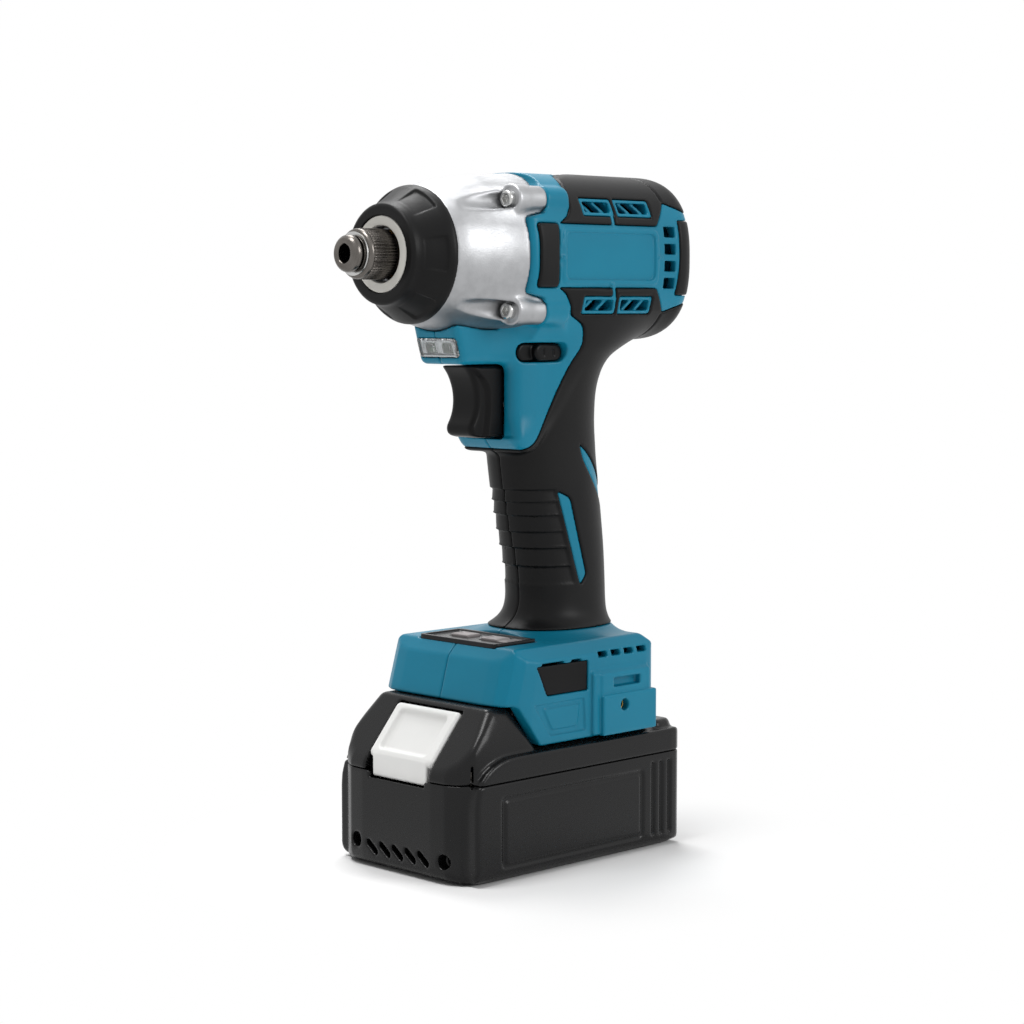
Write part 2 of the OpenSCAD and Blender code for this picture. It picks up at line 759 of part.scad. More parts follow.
module on_axis() { translate([0, 0, axis_z]) children(); }
module along(x) { on_axis() translate([x, 0, 0]) rotate([0, 90, 0]) children(); }
module spokes(n) { for (i = [0 : n - 1]) on_axis() rotate([360 * i / n, 0, 0]) children(); }
module turned(pts) { on_axis() rotate([0, 90, 0]) rotate_extrude() polygon([for (p = pts) [p[1], p[0]]]); }
module rod(x0, x1, r) { along(x0) cylinder(h = x1 - x0, r = r); }
module tube(x0, x1, ro, ri) {
  difference() {
    rod(x0, x1, ro);
    rod(x0 - past, x1 + past, ri);
  }
}
module hex_rod(x0, x1, af) { along(x0) cylinder(h = x1 - x0, r = af * half / cos(30), $fn = 6); }
module peg(x, z, y0, y1, r) { translate([x, y0, z]) rotate([-90, 0, 0]) cylinder(h = y1 - y0, r = r); }
module block(a, b) { translate(a) cube(b - a); }
module around(n) { spokes(n) translate([0, 0, -axis_z]) children(); }
module side_cut(pts, w) { rotate([90, 0, 0]) linear_extrude(2 * w, center = true) polygon(pts); }
module plan_cut(pts, z0, z1) { translate([0, 0, z0]) linear_extrude(z1 - z0) polygon(pts); }
module front_cut(pts, x0, x1) { translate([x0, 0, 0]) rotate([90, 0,
    90]) linear_extrude(x1 - x0) polygon(pts); }
module loft(rows) { polyhedron(points = flat(rows), faces = closed_faces(len(rows), len(rows[0]))); }
module side_half(side) { translate([-wide * half, side > 0 ? 0 : -wide, -wide * half]) cube([wide,
    wide, 2 * wide]); }
module both_sides() { for (s = [-1, 1]) scale([1, s, 1]) children(); }
module at_case_screws() { for (y = [-1, 1], z = [-1, 1]) translate([0, y * screw_y,
    z * screw_z]) children(); }
// Coil around its own Z axis from 0 to h
module coil(h, r, wire, turns) {
  n = turns * coil_seg;
  loft([for (i = [0 : n]) let (t = 360 * i / coil_seg, z = wire + (h - 2 * wire) * i / n)
    [for (j = [0 : wire_seg - 1]) let (u = 360 * j / wire_seg)
      [(r + wire * cos(u)) * cos(t), (r + wire * cos(u)) * sin(t), z - wire * sin(u)]]]);
}
// Round lead through points
module lead(path) {
  loft([for (p = path) [for (j = [0 : wire_seg - 1]) let (u = 360 * j / wire_seg)
    p + lead_r * [cos(u), sin(u), 0]]]);
}

// Gear outlines

function inv(a) = tan(a) * 180 / PI - a;
function flank(z, r, play) = let (rb = gear_m * z * half * cos(pressure), rr = max(r, rb))
  90 / z + inv(pressure) - inv(acos(rb / rr)) - play * 180 / PI / (gear_m * z * half);
function gear_outline(z, tip, root, play) = let (
    rb = gear_m * z * half * cos(pressure), r0 = max(root, rb), steps = 4,
    radii = [for (k = [0 : steps]) r0 + (tip - r0) * k / steps])
  [for (i = [0 : z - 1]) let (m = 360 * i / z) each concat(
    root < r0 ? [root * [cos(m - flank(z, r0, play)), sin(m - flank(z, r0, play))]] : [],
    [for (k = [0 : steps]) let (a = m - flank(z, radii[k], play)) radii[k] * [cos(a), sin(a)]],
    [for (k = [steps : -1 : 0]) let (a = m + flank(z, radii[k], play)) radii[k] * [cos(a), sin(a)]],
    root < r0 ? [root * [cos(m + flank(z, r0, play)), sin(m + flank(z, r0, play))]] : [])];
function gear_points(z) = gear_outline(z, gear_m * (z * half + addendum),
    gear_m * (z * half - dedendum), backlash);
function inner_points(z) = gear_outline(z, gear_m * (z * half + dedendum),
    gear_m * (z * half - addendum), -backlash);
// Outline across the axis, first down
module axis_prism(x0, x1, turn) {
  along(x0) rotate([0, 0, turn]) linear_extrude(x1 - x0) children();
}

// Nose

module anvil() {
  color("#55585C") difference() {
    union() {
      turned([[tip_x, 0], [tip_x, anvil_r - tip_chamfer], [tip_x + tip_chamfer, anvil_r],
        [ring_at - gap, anvil_r], [ring_at - gap, anvil_r - ring_groove],
        [ring_at + ring_t + gap, anvil_r - ring_groove], [ring_at + ring_t + gap, anvil_r],
        [journal_x, anvil_r], [journal_x, journal_r], [chamber_x + gear_gap, journal_r],
        [chamber_x + gear_gap, lug_hub_r], [anvil_end, lug_hub_r], [anvil_end, 0]]);
      for (s = [0, 180]) drive_lug(chamber_x + gear_gap + eps, anvil_end - eps, pilot_r + past, s + 90);
    }
    hex_rod(tip_x - past, tip_x + hex_depth, hex_af);
    rod(anvil_end - pilot_l - gear_gap, anvil_end + past, pilot_r + run_gap);
    detents(detent_r + run_gap, -hex_af * half);
  }
}
module drive_lug(x0, x1, r, turn) {
  on_axis() rotate([turn, 0, 0]) translate([x0, 0, 0]) rotate([0, 90, 0])
    rotate([0, 0, -lug_angle * half]) rotate_extrude(angle = lug_angle)
      translate([r, 0]) square([hammer_r - nib - r, x1 - x0]);
}
module detents(r, reach) {
  spokes(2) translate([detent_x, 0, detent_reach]) {
    sphere(r = r);
    if (reach != 0) cylinder(h = anvil_r, r = r);
    if (reach != 0) translate([0, 0, reach]) cylinder(h = -reach, r = r - run_gap * 2);
  }
}
module detent_balls() { color("#B8BCC0") detents(detent_r, 0); }
module bit_sleeve() {
  g = sleeve_x + sleeve_collar;
  color("#4A4C50") turned([[sleeve_x, sleeve_bore], [sleeve_x, sleeve_r - nib], [sleeve_x + nib,
      sleeve_r],
    [g, sleeve_r], [g, sleeve_r - groove_size[1]], [g + groove_size[0], sleeve_r - groove_size[1]],
    [g + groove_size[0], sleeve_r], [sleeve_end, sleeve_r], [sleeve_end, anvil_r + run_gap],
    [flange_x, anvil_r + run_gap], [flange_x, sleeve_bore]]);
}
module sleeve_spring() {
  color("#9DA1A5") along(washer_x + washer_t + gap)
    coil(flange_x - washer_x - washer_t - 2 * gap, (anvil_r + sleeve_bore) * half, sleeve_wire, 5);
}
module sleeve_washer() { color("#9DA1A5") tube(washer_x, washer_x + washer_t, sleeve_bore - gap,
    anvil_r + gap); }
module retaining_ring() {
  color("#8A8E92") tube(ring_at, ring_at + ring_t, anvil_r + ring_stand, anvil_r - ring_groove + gap);
}
module anvil_bush() { color("#B08D57") tube(bush_x, chamber_x - gap, bush_r - run_gap,
    journal_r + run_gap); }

function case_points() = [for (s = case_shares) [nose_x + s[0] * (case_back - nose_x), s[1] * case_r]];
module hammer_case() {
  color("#B9BCBE") difference() {
    union() {
      turned(concat(case_points(), [[case_back, skirt_r], [plate_x, skirt_r], [plate_x, chamber_r],
        [chamber_x, chamber_r], [chamber_x, bush_r], [bush_x, bush_r], [bush_x, nose_bore_r],
        [nose_x, nose_bore_r]]));
      at_case_screws() rod(boss_x0, boss_x1, boss_r);
      for (y = [-1, 1], z = [-1, 1]) hull() {
        translate([0, y * screw_y, z * screw_z]) rod(boss_x0, boss_x0 + nib, boss_r - nib, $fn = hull_fn);
        translate([0, y * screw_y * ridge_drop, z * screw_z * ridge_drop])
          rod(boss_x0 - ridge_l, boss_x0 - ridge_l + nib, ridge_r, $fn = hull_fn);
      }
    }
    rod(chamber_x, plate_x + past, chamber_r);
    rod(bush_x, chamber_x + past, bush_r);
    at_case_screws() rod(boss_x0 - past - ridge_l, boss_x0, case_screw[1] + gap + nib);
    at_case_screws() rod(boss_x0 - past, boss_x1 + past, case_screw[0] + gap);
  }
}
module nose_bumper() {
  c = case_points();
  outer = [for (s = bumper_shares) [bumper_x + s[0] * bumper_l, s[1] * bumper_r]];
  inner_end = c[2][1] + (bumper_end - c[2][0]) / (c[3][0] - c[2][0]) * (c[3][1] - c[2][1]) + gap;
  color("#2A2A2B") {
    turned(concat(outer, [[bumper_end, inner_end], [c[2][0] - gap, c[2][1] + gap],
      [c[1][0] - gap, c[1][1] + gap], [bumper_x, c[1][1] + gap]]));
    spokes(bumper_pads) rotate([0, 90, 0])
      rotate([0, 0, 180 - pad_angle * half]) rotate_extrude(angle = pad_angle)
        polygon([for (p = bumper_pad(outer)) [p[1], p[0]]]);
  }
}
function bumper_pad(o) = [o[3] - [0, nib], o[3] + [nib, pad_stand], o[4] + [-nib, pad_stand],
    o[4] - [0, nib]];
module case_screws() {
  color("#3A3B3D") at_case_screws() difference() {
    union() {
      rod(boss_x0 - case_screw[2], boss_x0, case_screw[1]);
      rod(boss_x0 - nib, boss_x1 + housing_boss_l - past, case_screw[0]);
    }
    hex_rod(boss_x0 - case_screw[2] - past, boss_x0 - nib, case_screw[3]);
  }
}

// Impact drive

module hammer() {
  color("#6A6D70") difference() {
    union() {
      turned([[hammer_x, spindle_r + run_gap], [hammer_x, hammer_r], [hammer_end, hammer_r],
        [hammer_end, hammer_coil_r + hammer_wire + spring_room],
        [spring_x, hammer_coil_r + hammer_wire + spring_room],
        [spring_x, hammer_coil_r - hammer_wire - spring_room],
        [hammer_end, hammer_coil_r - hammer_wire - spring_room], [hammer_end, spindle_r + run_gap]]);
      for (s = [0, 180]) drive_lug(hammer_x - lug_l, hammer_x + nib, hammer_lug_r, s);
    }
    cam_channel();
  }
}
// Channel of the cam balls in the hammer
module cam_channel() {
  r = cam_ball_r + run_gap * 2;
  spokes(2) translate([cam_x - hammer_recoil - r, 0, spindle_r])
    rotate([0, 90, 0]) cylinder(h = hammer_recoil + 2 * r + nib, r = r);
}
module cam_balls() {
  color("#B8BCC0") spokes(2) translate([cam_x, 0, spindle_r])
    sphere(r = cam_ball_r);
}
module hammer_spring() {
  color("#7C8084") along(spring_x + gap)
    coil(seat_x - spring_x - 2 * gap, hammer_coil_r, hammer_wire, 5);
}
module spring_seat() { color("#8A8E92") tube(seat_x, flange_x0 - run_gap, seat_r, spindle_r + gap); }
module spindle() {
  color("#75787B") difference() {
    union() {
      turned([[anvil_end - pilot_l, 0], [anvil_end - pilot_l, pilot_r - nib],
        [anvil_end - pilot_l + nib, pilot_r], [hammer_x, pilot_r], [hammer_x, spindle_r],
        [flange_x0, spindle_r], [flange_x0, seat_r], [flange_x1, seat_r], [flange_x1, 0]]);
      rod(carrier_x0, carrier_x1, carrier_r);
      rod(carrier_x1 - eps, hub_x1, spindle_race[1] - run_gap);
      spokes(planets) rotate([180 / planets, 0, 0]) translate([flange_x1 - eps, 0, post_size[1]])
        rotate([0, 90, 0]) cylinder(h = carrier_x0 - flange_x1 + 2 * eps, r = post_size[0]);
    }
    rod(carrier_x0 - past, hub_x1 + past, sun_tip + nib);
    around(planets) translate([0, 0, orbit]) rod(flange_x0 + nib, carrier_x1 + past, pin_r + run_gap);
    spokes(2) translate([cam_x, 0, spindle_r])
      sphere(r = cam_ball_r + run_gap * 2);
  }
}
module planet_pins() {
  color("#9DA1A5") around(planets) translate([0, 0, orbit]) rod(flange_x0 + nib + run_gap, carrier_x1,
      pin_r);
}
module planet_gear(i) {
  color("#84878A") on_axis() rotate([360 * i / planets, 0, 0]) translate([planet_x0, 0,
      orbit]) rotate([0, 90, 0])
    difference() {
      rotate([0, 0, 180 + 180 / planet_teeth]) linear_extrude(gear_w) polygon(gear_points(planet_teeth));
      translate([0, 0, -past]) cylinder(h = gear_w + 2 * past, r = pin_r + run_gap);
    }
}
module planet_gear_1() { planet_gear(0); }
module planet_gear_2() { planet_gear(1); }
module planet_gear_3() { planet_gear(2); }
module ring_gear() {
  color("#84878A") difference() {
    rod(plate_x - ring_w, plate_x - run_gap, ring_r);
    axis_prism(plate_x - ring_w - past, plate_x + past, 180 + 180 / ring_teeth)
      polygon(inner_points(ring_teeth));
  }
}
module gear_plate() {
  b = spindle_race;
  f = front_race;
  color("#3C3D3F") turned([[plate_x, b[0] + run_gap], [plate_x, plate_r], [plate_end, plate_r],
    [plate_end, f[0] + seat_wall], [bearing_x + f[2], f[0] + seat_wall], [bearing_x + f[2], f[0] + run_gap],
    [plate_end, f[0] + run_gap], [plate_end, shaft_r + past], [hub_x1 + gap, shaft_r + past],
    [hub_x1 + gap, b[0] + run_gap]]);
}
module bearing(x, size, bore) {
  color("#A6AAAE") tube(x, x + size[2], size[0], bore + run_gap);
}
module spindle_bearing() { bearing(plate_x + gap, spindle_race, spindle_race[1]); }
module front_bearing() { bearing(bearing_x, front_race, shaft_r); }
module rear_bearing() { bearing(rear_bearing_x, rear_race, shaft_r); }

// Motor

module rotor_shaft() {
  color("#9A9DA0") {
    rod(planet_x1, rear_bearing_x + rear_race[2], shaft_r);
    axis_prism(planet_x0, planet_x1 + eps, 180) polygon(gear_points(sun_teeth));
  }
}
module rotor_core() { color("#6E7174") tube(core_x0, core_x1, rotor_r, shaft_r + run_gap); }
module motor_fan() {
  color("#35373A") difference() {
    union() {
      rod(fan_x, fan_x + fan_l, fan_hub);
      rod(fan_x, fan_x + fan_t, fan_r);
      spokes(blades)
        block([fan_x + fan_t - eps, -fan_t * half, fan_hub - nib], [fan_x + fan_l, fan_t * half,
            fan_r - nib]);
    }
    rod(fan_x - past, fan_x + fan_l + past, shaft_r + run_gap);
  }
}
module stator_core() {
  color("#8B8E91") difference() {
    union() {
      tube(core_x0, core_x1, stator_r, stator_r - yoke_t);
      spokes(slots)
        block([core_x0, -tooth_w * half, stator_bore - nib], [core_x1, tooth_w * half,
            stator_r - yoke_t + nib]);
    }
    rod(core_x0 - past, core_x1 + past, stator_bore);
  }
}
module stator_coils() {
  color("#B5692F") spokes(slots) difference() {
    block([coil_x0, -coil_w * half, stator_bore + nib], [coil_x1, coil_w * half,
        stator_r - yoke_t - past]);
    block([core_x0 - gap, -tooth_w * half - gap, 0], [core_x1 + gap, tooth_w * half + gap, stator_r]);
  }
}
module sensor_board() {
  color("#2F6B45") tube(coil_x0 - gap - board_t, coil_x0 - gap, stator_r - past,
      front_race[0] + seat_wall + nib);
}

// Housing

function head_rows(grow) = [for (s = head_shares)
  let (x = head_x0 + s[0] * head_l + (s[0] == 1 ? grow : 0), w = head_half_w * s[1] + grow,
      h = head_half_h * s[1] + grow)
  [for (u = oval(head_facets, head_square)) [x, w * u[0], axis_z + h * u[1]]]];
function handle_rows(grow) = [for (s = handle_shares)
  let (a = handle_half_d * s[2] + grow, b = handle_half_w * s[3] + grow)
  [for (u = oval(handle_facets, handle_square))
    [handle_x - handle_rake * s[1] + a * u[0], b * u[1], handle_z + s[0] * handle_h]]];
module body_form(grow) {
  loft(head_rows(grow));
  loft(handle_rows(grow));
}
// Trigger housing with the lamp nose
function guard_points() = bend([[-lamp_x, lamp_z1, 0], [lamp_lean - lamp_x, guard_z1, corner_m],
  [-guard_x, guard_z1, corner_s], [-guard_x, guard_z0, corner_m], [-guard_x - lip_l, guard_z0 - nib,
      corner_s],
  [-guard_x - lip_l * 0.7, guard_z0 - lip_t * 0.7, corner_m], [-guard_x, guard_z0 - lip_t, corner_m],
  [0, guard_z0 - lip_t * 0.8, 0], [guard_tail, lever_z + past, 0], [0, axis_z - handle_drop, 0]]);
module guard_form() {
  intersection() {
    side_cut(guard_points(), guard_half_w + past);
    plan_cut(bend([[-lamp_x - past, -lamp_half_w, corner_l], [-lamp_x * 0.3, -guard_half_w, 2 * corner_l],
      [guard_tail, -guard_half_w, 0], [guard_tail, guard_half_w, 0],
      [-lamp_x * 0.3, guard_half_w, 2 * corner_l], [-lamp_x - past, lamp_half_w, corner_l]]),
          deck_z, axis_z);
  }
}
function foot_side() = bend([[-foot_front, foot_front_z, corner_s], [foot_lean - foot_front,
    deck_z - foot_bevel, corner_m],
  [foot_top - foot_front, deck_z, corner_m], [foot_rear - foot_bevel, deck_z, corner_m],
  [foot_rear, deck_z - foot_bevel, corner_m], [foot_rear - past, foot_low_z, corner_m],
  [-foot_low_x, foot_low_z, corner_s], [-foot_slant_x, foot_front_z, corner_s]]);
module foot_form() {
  w = foot_half_w;
  intersection() {
    side_cut(foot_side(), w + past);
    plan_cut(bend([[-foot_front, -w, foot_corner], [foot_rear, -w, corner_l], [foot_rear, w, corner_l],
      [-foot_front, w, foot_corner]]), foot_low_z - past, deck_z + past);
    front_cut(bend([[-w, foot_low_z - past, 0], [w, foot_low_z - past, 0], [w,
        deck_z - foot_bevel, corner_m],
      [w - foot_bevel, deck_z, corner_m], [foot_bevel - w, deck_z, corner_m], [-w, deck_z - foot_bevel,
          corner_m]]), -foot_front - past, foot_rear + past);
  }
  both_sides() intersection() {
    block([lug_x, w - past, foot_low_z], [lug_x + lug_size[0], w + lug_size[2], foot_low_z + lug_size[1]]);
    front_cut([[w - past, foot_low_z], [w + lug_size[2], foot_low_z], [w + lug_size[2],
        foot_low_z + lug_size[1] * 0.7],
      [w, foot_low_z + lug_size[1]], [w - past, foot_low_z + lug_size[1]]], lug_x - past, foot_rear);
  }
}
module housing_outer() {
  body_form(0);
  guard_form();
  foot_form();
  at_case_screws() rod(boss_x1 + eps, boss_x1 + housing_boss_l, boss_r + gap);
}
// Regions of the overmould, grown by g
module skin_regions(g) {
  x1 = head_x1 - skin_rear + g;
  s0 = plate_x + strip_front - g;
  // Head top and upper vent strip
  side_cut([[plate_x + skin_front - g, axis_z + wide], [plate_x + skin_front - g, axis_z + strip_top - g],
    [s0, axis_z + strip_top + g], [s0, axis_z + strip_z - g], [x1, axis_z + strip_z - g], [x1,
        axis_z + wide]], wide);
  // Lower vent strip, handle back and grip
  side_cut(bend([[s0, axis_z - strip_z + g, 0], [s0, lever_z + skin_rise - g, 0],
    [skin_tip - g, lever_z + skin_rise - g, 0], [skin_tip - g, lever_z, corner_l], [skin_mid - g,
        guard_z0, corner_l],
    [-guard_x * 0.6, guard_z0 - lip_t + g, corner_l], [-wide, guard_z0 - lip_t + g, 0],
    [-wide, deck_z + skin_low - g, 0], [wide, deck_z + skin_low - g, 0], [wide,
        axis_z - head_half_h - past + g, 0],
    [x1, axis_z - head_half_h - past + g, 0], [x1, axis_z - strip_z + g, 0]]), wide);
}
module grip(side) {
  color("#2B2A2B") difference() {
    intersection() {
      body_form(skin_stand);
      skin_regions(0);
      side_half(side);
    }
    body_form(-skin_t);
    vent_cuts();
    screw_cuts(side);
    lever_cut();
    at_case_screws() rod(boss_x1 - past, boss_x1 + housing_boss_l + gap, boss_r + 2 * gap);
  }
}
module skin_pocket() {
  difference() {
    skin_regions(gap);
    body_form(-skin_t - gap);
  }
}
module vent_cuts() {
  both_sides() {
    for (i = [0 : rear_vents - 1]) let (z = axis_z + (i - (rear_vents - 1) * half) * rear_vent_pitch)
      block([plate_x + rear_vent_x, stator_r - past, z - rear_vent[1] * half],
        [plate_x + rear_vent_x + rear_vent[0], wide, z + rear_vent[1] * half]);
    for (i = [0 : strip_vents - 1], s = [-1, 1])
        let (x = plate_x + strip_vent_x + i * strip_vent_pitch, z = axis_z + s * strip_vent_z)
      block([x, rotor_r, z - strip_vent[1] * half], [x + strip_vent[0], wide, z + strip_vent[1] * half]);
  }
}
module screw_cuts(side) {
  for (s = body_screws) {
    peg(s[0], s[1], -body_screw_reach - nib, wide, body_screw_r + gap);
    if (side > 0) peg(s[0], s[1], s[2], wide, body_screw_head[0] + gap);
  }
}
function stadium(x, z, l, h) = round_box(x, z - h * half, x + l, z + h * half, h * half);
module lever_cut() {
  side_cut(stadium(-lever_x - slide_gap, lever_z, lever_size[0] + 2 * slide_gap,
      lever_size[1] + 2 * slide_gap), wide);
  both_sides() translate([0, guard_half_w - lever_recess_d + wide, 0])
    side_cut(stadium(-lever_x - lever_recess, lever_z, lever_size[0] + lever_recess + past,
        lever_size[1] + past), wide);
}
module head_bore() {
  r0 = skirt_r + 2 * gap;
  rs = stator_r + gap;
  turned([[head_x0 - past, 0], [head_x0 - past, r0], [plate_end + gap, r0], [plate_end + gap, head_bore_r],
    [core_x0, head_bore_r], [core_x0, rs], [core_x0 + rib_l, rs], [core_x0 + rib_l, head_bore_r],
    [core_x1 - rib_l, head_bore_r], [core_x1 - rib_l, rs], [core_x1, rs], [core_x1, head_bore_r],
    [bore_end, head_bore_r], [bore_end, rear_race[0] + run_gap],
    [rear_bearing_x + rear_race[2] + gap, rear_race[0] + run_gap],
    [rear_bearing_x + rear_race[2] + gap, 0]]);
}
module handle_room() {
  difference() {
    loft(handle_rows(-handle_wall));
    block([-wide, -wide, axis_z - head_half_h + handle_wall], [wide, wide, axis_z + wide]);
    for (s = body_screws) peg(s[0], s[1], -wide, wide, body_boss_r);
  }
}
// Room of the trigger and the switch
module guard_room() {
  w = trigger_half_w + slide_gap;
  block([-lamp_x - past, -w, guard_z0 - slide_gap], [switch_x + past, w, guard_z1 - nib]);
  block([switch_x - gap, -switch_size[1] - gap, guard_z1 - nib - switch_size[2] - gap],
    [switch_x + switch_size[0] + gap, switch_size[1] + gap, guard_z1 - nib]);
  block([-lamp_x - past, -lens_size[0] - gap, lens_z0 - gap],
    [lamp_lean + lens_t + lamp_board_t + past - lamp_x, lens_size[0] + gap, lens_z0 + lens_size[1] + gap]);
}
module foot_room() {
  c = channel_half_w;
  u = foot_half_w - foot_wall;
  difference() {
    union() {
      front_cut([[-rail_half_w, foot_low_z - past], [rail_half_w, foot_low_z - past],
        [rail_half_w, foot_low_z + rail_h], [c, foot_low_z + rail_h], [c, channel_z], [-c, channel_z],
        [-c, foot_low_z + rail_h], [-rail_half_w, foot_low_z + rail_h]], -foot_front - past, room_x);
      block([foot_top - foot_front, -u, channel_z - eps], [room_x, u, room_z]);
    }
    for (s = body_screws) if (s[1] < deck_z) peg(s[0], s[1], -wide, wide, body_boss_r);
  }
}
module panel_cut() {
  p = panel_size;
  block([-panel_x - gap, -p[1] - gap, deck_z + panel_stand - p[2]], [p[0] - panel_x + gap,
      p[1] + gap, deck_z + past]);
  for (s = [-1, 1]) key_block(s, 2 * slide_gap, deck_z - foot_wall - past, deck_z);
}
module key_block(s, g, z0, z1) {
  x = key_x - panel_x;
  block([x - g, s * key_y - key_size[1] * half - g, z0], [x + key_size[0] + g,
      s * key_y + key_size[1] * half + g, z1]);
}
module housing(side) {
  color("#23788F") difference() {
    intersection() {
      housing_outer();
      side_half(side);
    }
    skin_pocket();
    head_bore();
    handle_room();
    guard_room();
    foot_room();
    lead_passages();
    lever_cut();
    vent_cuts();
    screw_cuts(side);
    panel_cut();
    at_case_screws() rod(head_x0 - wide, boss_x1 + gap, boss_r + slide_gap);
    at_case_screws() rod(boss_x1 - past, boss_x1 + housing_boss_l - past + nib, case_screw[0] + gap);
    both_sides() side_pad_block(gap);
    both_sides() peg(hook_x, foot_low_z + hook_z, foot_half_w + lug_size[2] - insert_l - gap, wide,
        insert_r + gap);
    turned([[nose_x, 0], [nose_x, case_r + 2 * gap], [case_back + gap, case_r + 2 * gap],
        [case_back + gap, 0]]);
  }
}
module housing_left() { housing(-1); }
module housing_right() { housing(1); }
module grip_left() { grip(-1); }
module grip_right() { grip(1); }
module side_pad_block(g) {
  p = side_pad_size;
  x = head_x0 + side_pad_x;
  y = head_half_w - side_pad_sink - g;
  intersection() {
    side_cut(round_box(x - g, axis_z - p[1] * half - g, x + p[0] + g, axis_z + p[1] * half + g,
      corner_m), wide);
    block([-wide, y, 0], [wide, y + p[2] + g * 2, axis_z + wide]);
  }
}
module side_pads() { color("#2B2A2B") both_sides() side_pad_block(0); }
module housing_screws() {
  color("#3A3B3D") for (s = body_screws) {
    peg(s[0], s[1], s[2] + run_gap, s[2] + body_screw_head[1], body_screw_head[0]);
    peg(s[0], s[1], -body_screw_reach, s[2] + nib, body_screw_r);
  }
}

// Controls

module trigger() {
  x0 = -guard_x - trigger_reach;
  z0 = guard_z0 + nib;
  z1 = guard_z1 - nib - slide_gap;
  color("#2F2F31") difference() {
    union() {
      intersection() {
        side_cut(bend([[x0, z1, corner_m], [x0 + trigger_hollow, z0 + 0.62 * (z1 - z0), 2 * corner_l],
            [x0 + trigger_hollow, z0 + 0.34 * (z1 - z0), corner_l],
          [x0 - trigger_toe, z0, corner_m], [trigger_back, z0, 0], [trigger_back, z1, 0]]), trigger_half_w);
        plan_cut(bend([[x0 - past, -trigger_half_w, corner_l], [trigger_back, -trigger_half_w, 0],
          [trigger_back, trigger_half_w, 0], [x0 - past, trigger_half_w, corner_l]]), z0 - past, z1 + past);
      }
      block([trigger_back - eps, -stem_size[1], z1 - stem_drop - stem_size[2]],
        [trigger_back + stem_size[0], stem_size[1], z1 - stem_drop]);
    }
    translate([trigger_back - trigger_seat, 0, trigger_coil_z]) rotate([0, 90, 0])
      cylinder(h = trigger_seat + past, r = trigger_coil[0] + trigger_coil[1] + slide_gap);
  }
}
module trigger_spring() {
  color("#9DA1A5") translate([trigger_back - trigger_seat + gap, 0, trigger_coil_z]) rotate([0, 90, 0])
    coil(switch_x - trigger_back + trigger_seat - 2 * gap, trigger_coil[0], trigger_coil[1], 6);
}
module trigger_switch() {
  z1 = guard_z1 - nib - gap;
  t = guard_z1 - nib - slide_gap - stem_drop;
  color("#3A3A3C") difference() {
    block([switch_x, -switch_size[1], z1 - switch_size[2]], [switch_x + switch_size[0], switch_size[1],
        z1]);
    block([switch_x - past, -stem_size[1] - slide_gap, t - stem_size[2] - slide_gap],
      [trigger_back + stem_size[0] + trigger_travel + nib, stem_size[1] + slide_gap, t + slide_gap]);
  }
}
module direction_lever() {
  color("#2F2F31") side_cut(stadium(-lever_x, lever_z, lever_size[0], lever_size[1]), lever_half_y);
}
function nose_at(z) = lamp_lean * (lamp_z1 - z) / (lamp_z1 - guard_z1) - lamp_x;
module lamp_lens() {
  a = lens_z0;
  b = lens_z0 + lens_size[1];
  color("#DADDDC") side_cut([[nose_at(a) - lens_stand, a], [nose_at(a) + lens_t, a],
      [nose_at(b) + lens_t, b], [nose_at(b) - lens_stand, b]], lens_size[0]);
}
module lamp_board() {
  a = lens_z0;
  b = lens_z0 + lens_size[1];
  x = nose_at(a) + lens_t + lamp_size[0] + gap;
  m = (a + b) * half;
  color("#2F6B45") {
    block([x, -lens_size[0], a], [x + lamp_board_t, lens_size[0], b]);
    both_sides() block([x - lamp_size[0], lamp_y - lamp_size[1] * half, a + gap],
      [x + eps, lamp_y + lamp_size[1] * half, a + gap + lamp_size[2]]);
  }
}
module control_panel() {
  p = panel_size;
  color("#1E1F21") difference() {
    block([-panel_x, -p[1], deck_z + panel_stand - p[2] + run_gap], [p[0] - panel_x, p[1],
        deck_z + panel_stand]);
    for (s = [-1, 1]) key_block(s, slide_gap, deck_z - foot_wall, deck_z + past);
  }
}
module key(s) {
  z1 = deck_z + panel_stand + key_stand;
  color("#8E8683") key_block(s, 0, z1 - key_size[2], z1);
}
module mode_key() { key(-1); }
module light_key() { key(1); }
module controller_board() {
  x = foot_top - foot_front + nib;
  c = control_size;
  color("#2F6B45") block([x, -c[1], box_z], [x + c[0], c[1], box_z + c[2]]);
  color("#A3A6A8") block([x + sink_size[0], sink_size[0] - c[1], box_z + c[2] + run_gap],
    [x + c[0] - sink_size[0], c[1] - sink_size[0], box_z + c[2] + sink_size[1]]);
}
module terminal_block() {
  u = foot_half_w - foot_wall - gap;
  color("#3A3A3C") difference() {
    union() {
      block([foot_top - foot_front + gap, -u, block_z], [room_x - gap, u, block_z + block_h]);
      block([blade_x - nib, -block_box[1], block_z + block_h - eps],
        [blade_x - nib + block_box[0], block_box[1], block_z + block_h + block_box[2]]);
    }
    blades_at(gap, wide);
    for (s = body_screws) if (s[1] < deck_z) peg(s[0], s[1], -wide, wide, body_boss_r + gap);
  }
}
module blades_at(g, up) {
  both_sides() block([blade_x - g, blade_y - blade_size[1] * half - g, block_z + block_h - blade_size[2]],
    [blade_x + blade_size[0] + g, blade_y + blade_size[1] * half + g, block_z + block_h + up]);
}
module terminal_blades() { color("#C0A060") blades_at(0, past); }
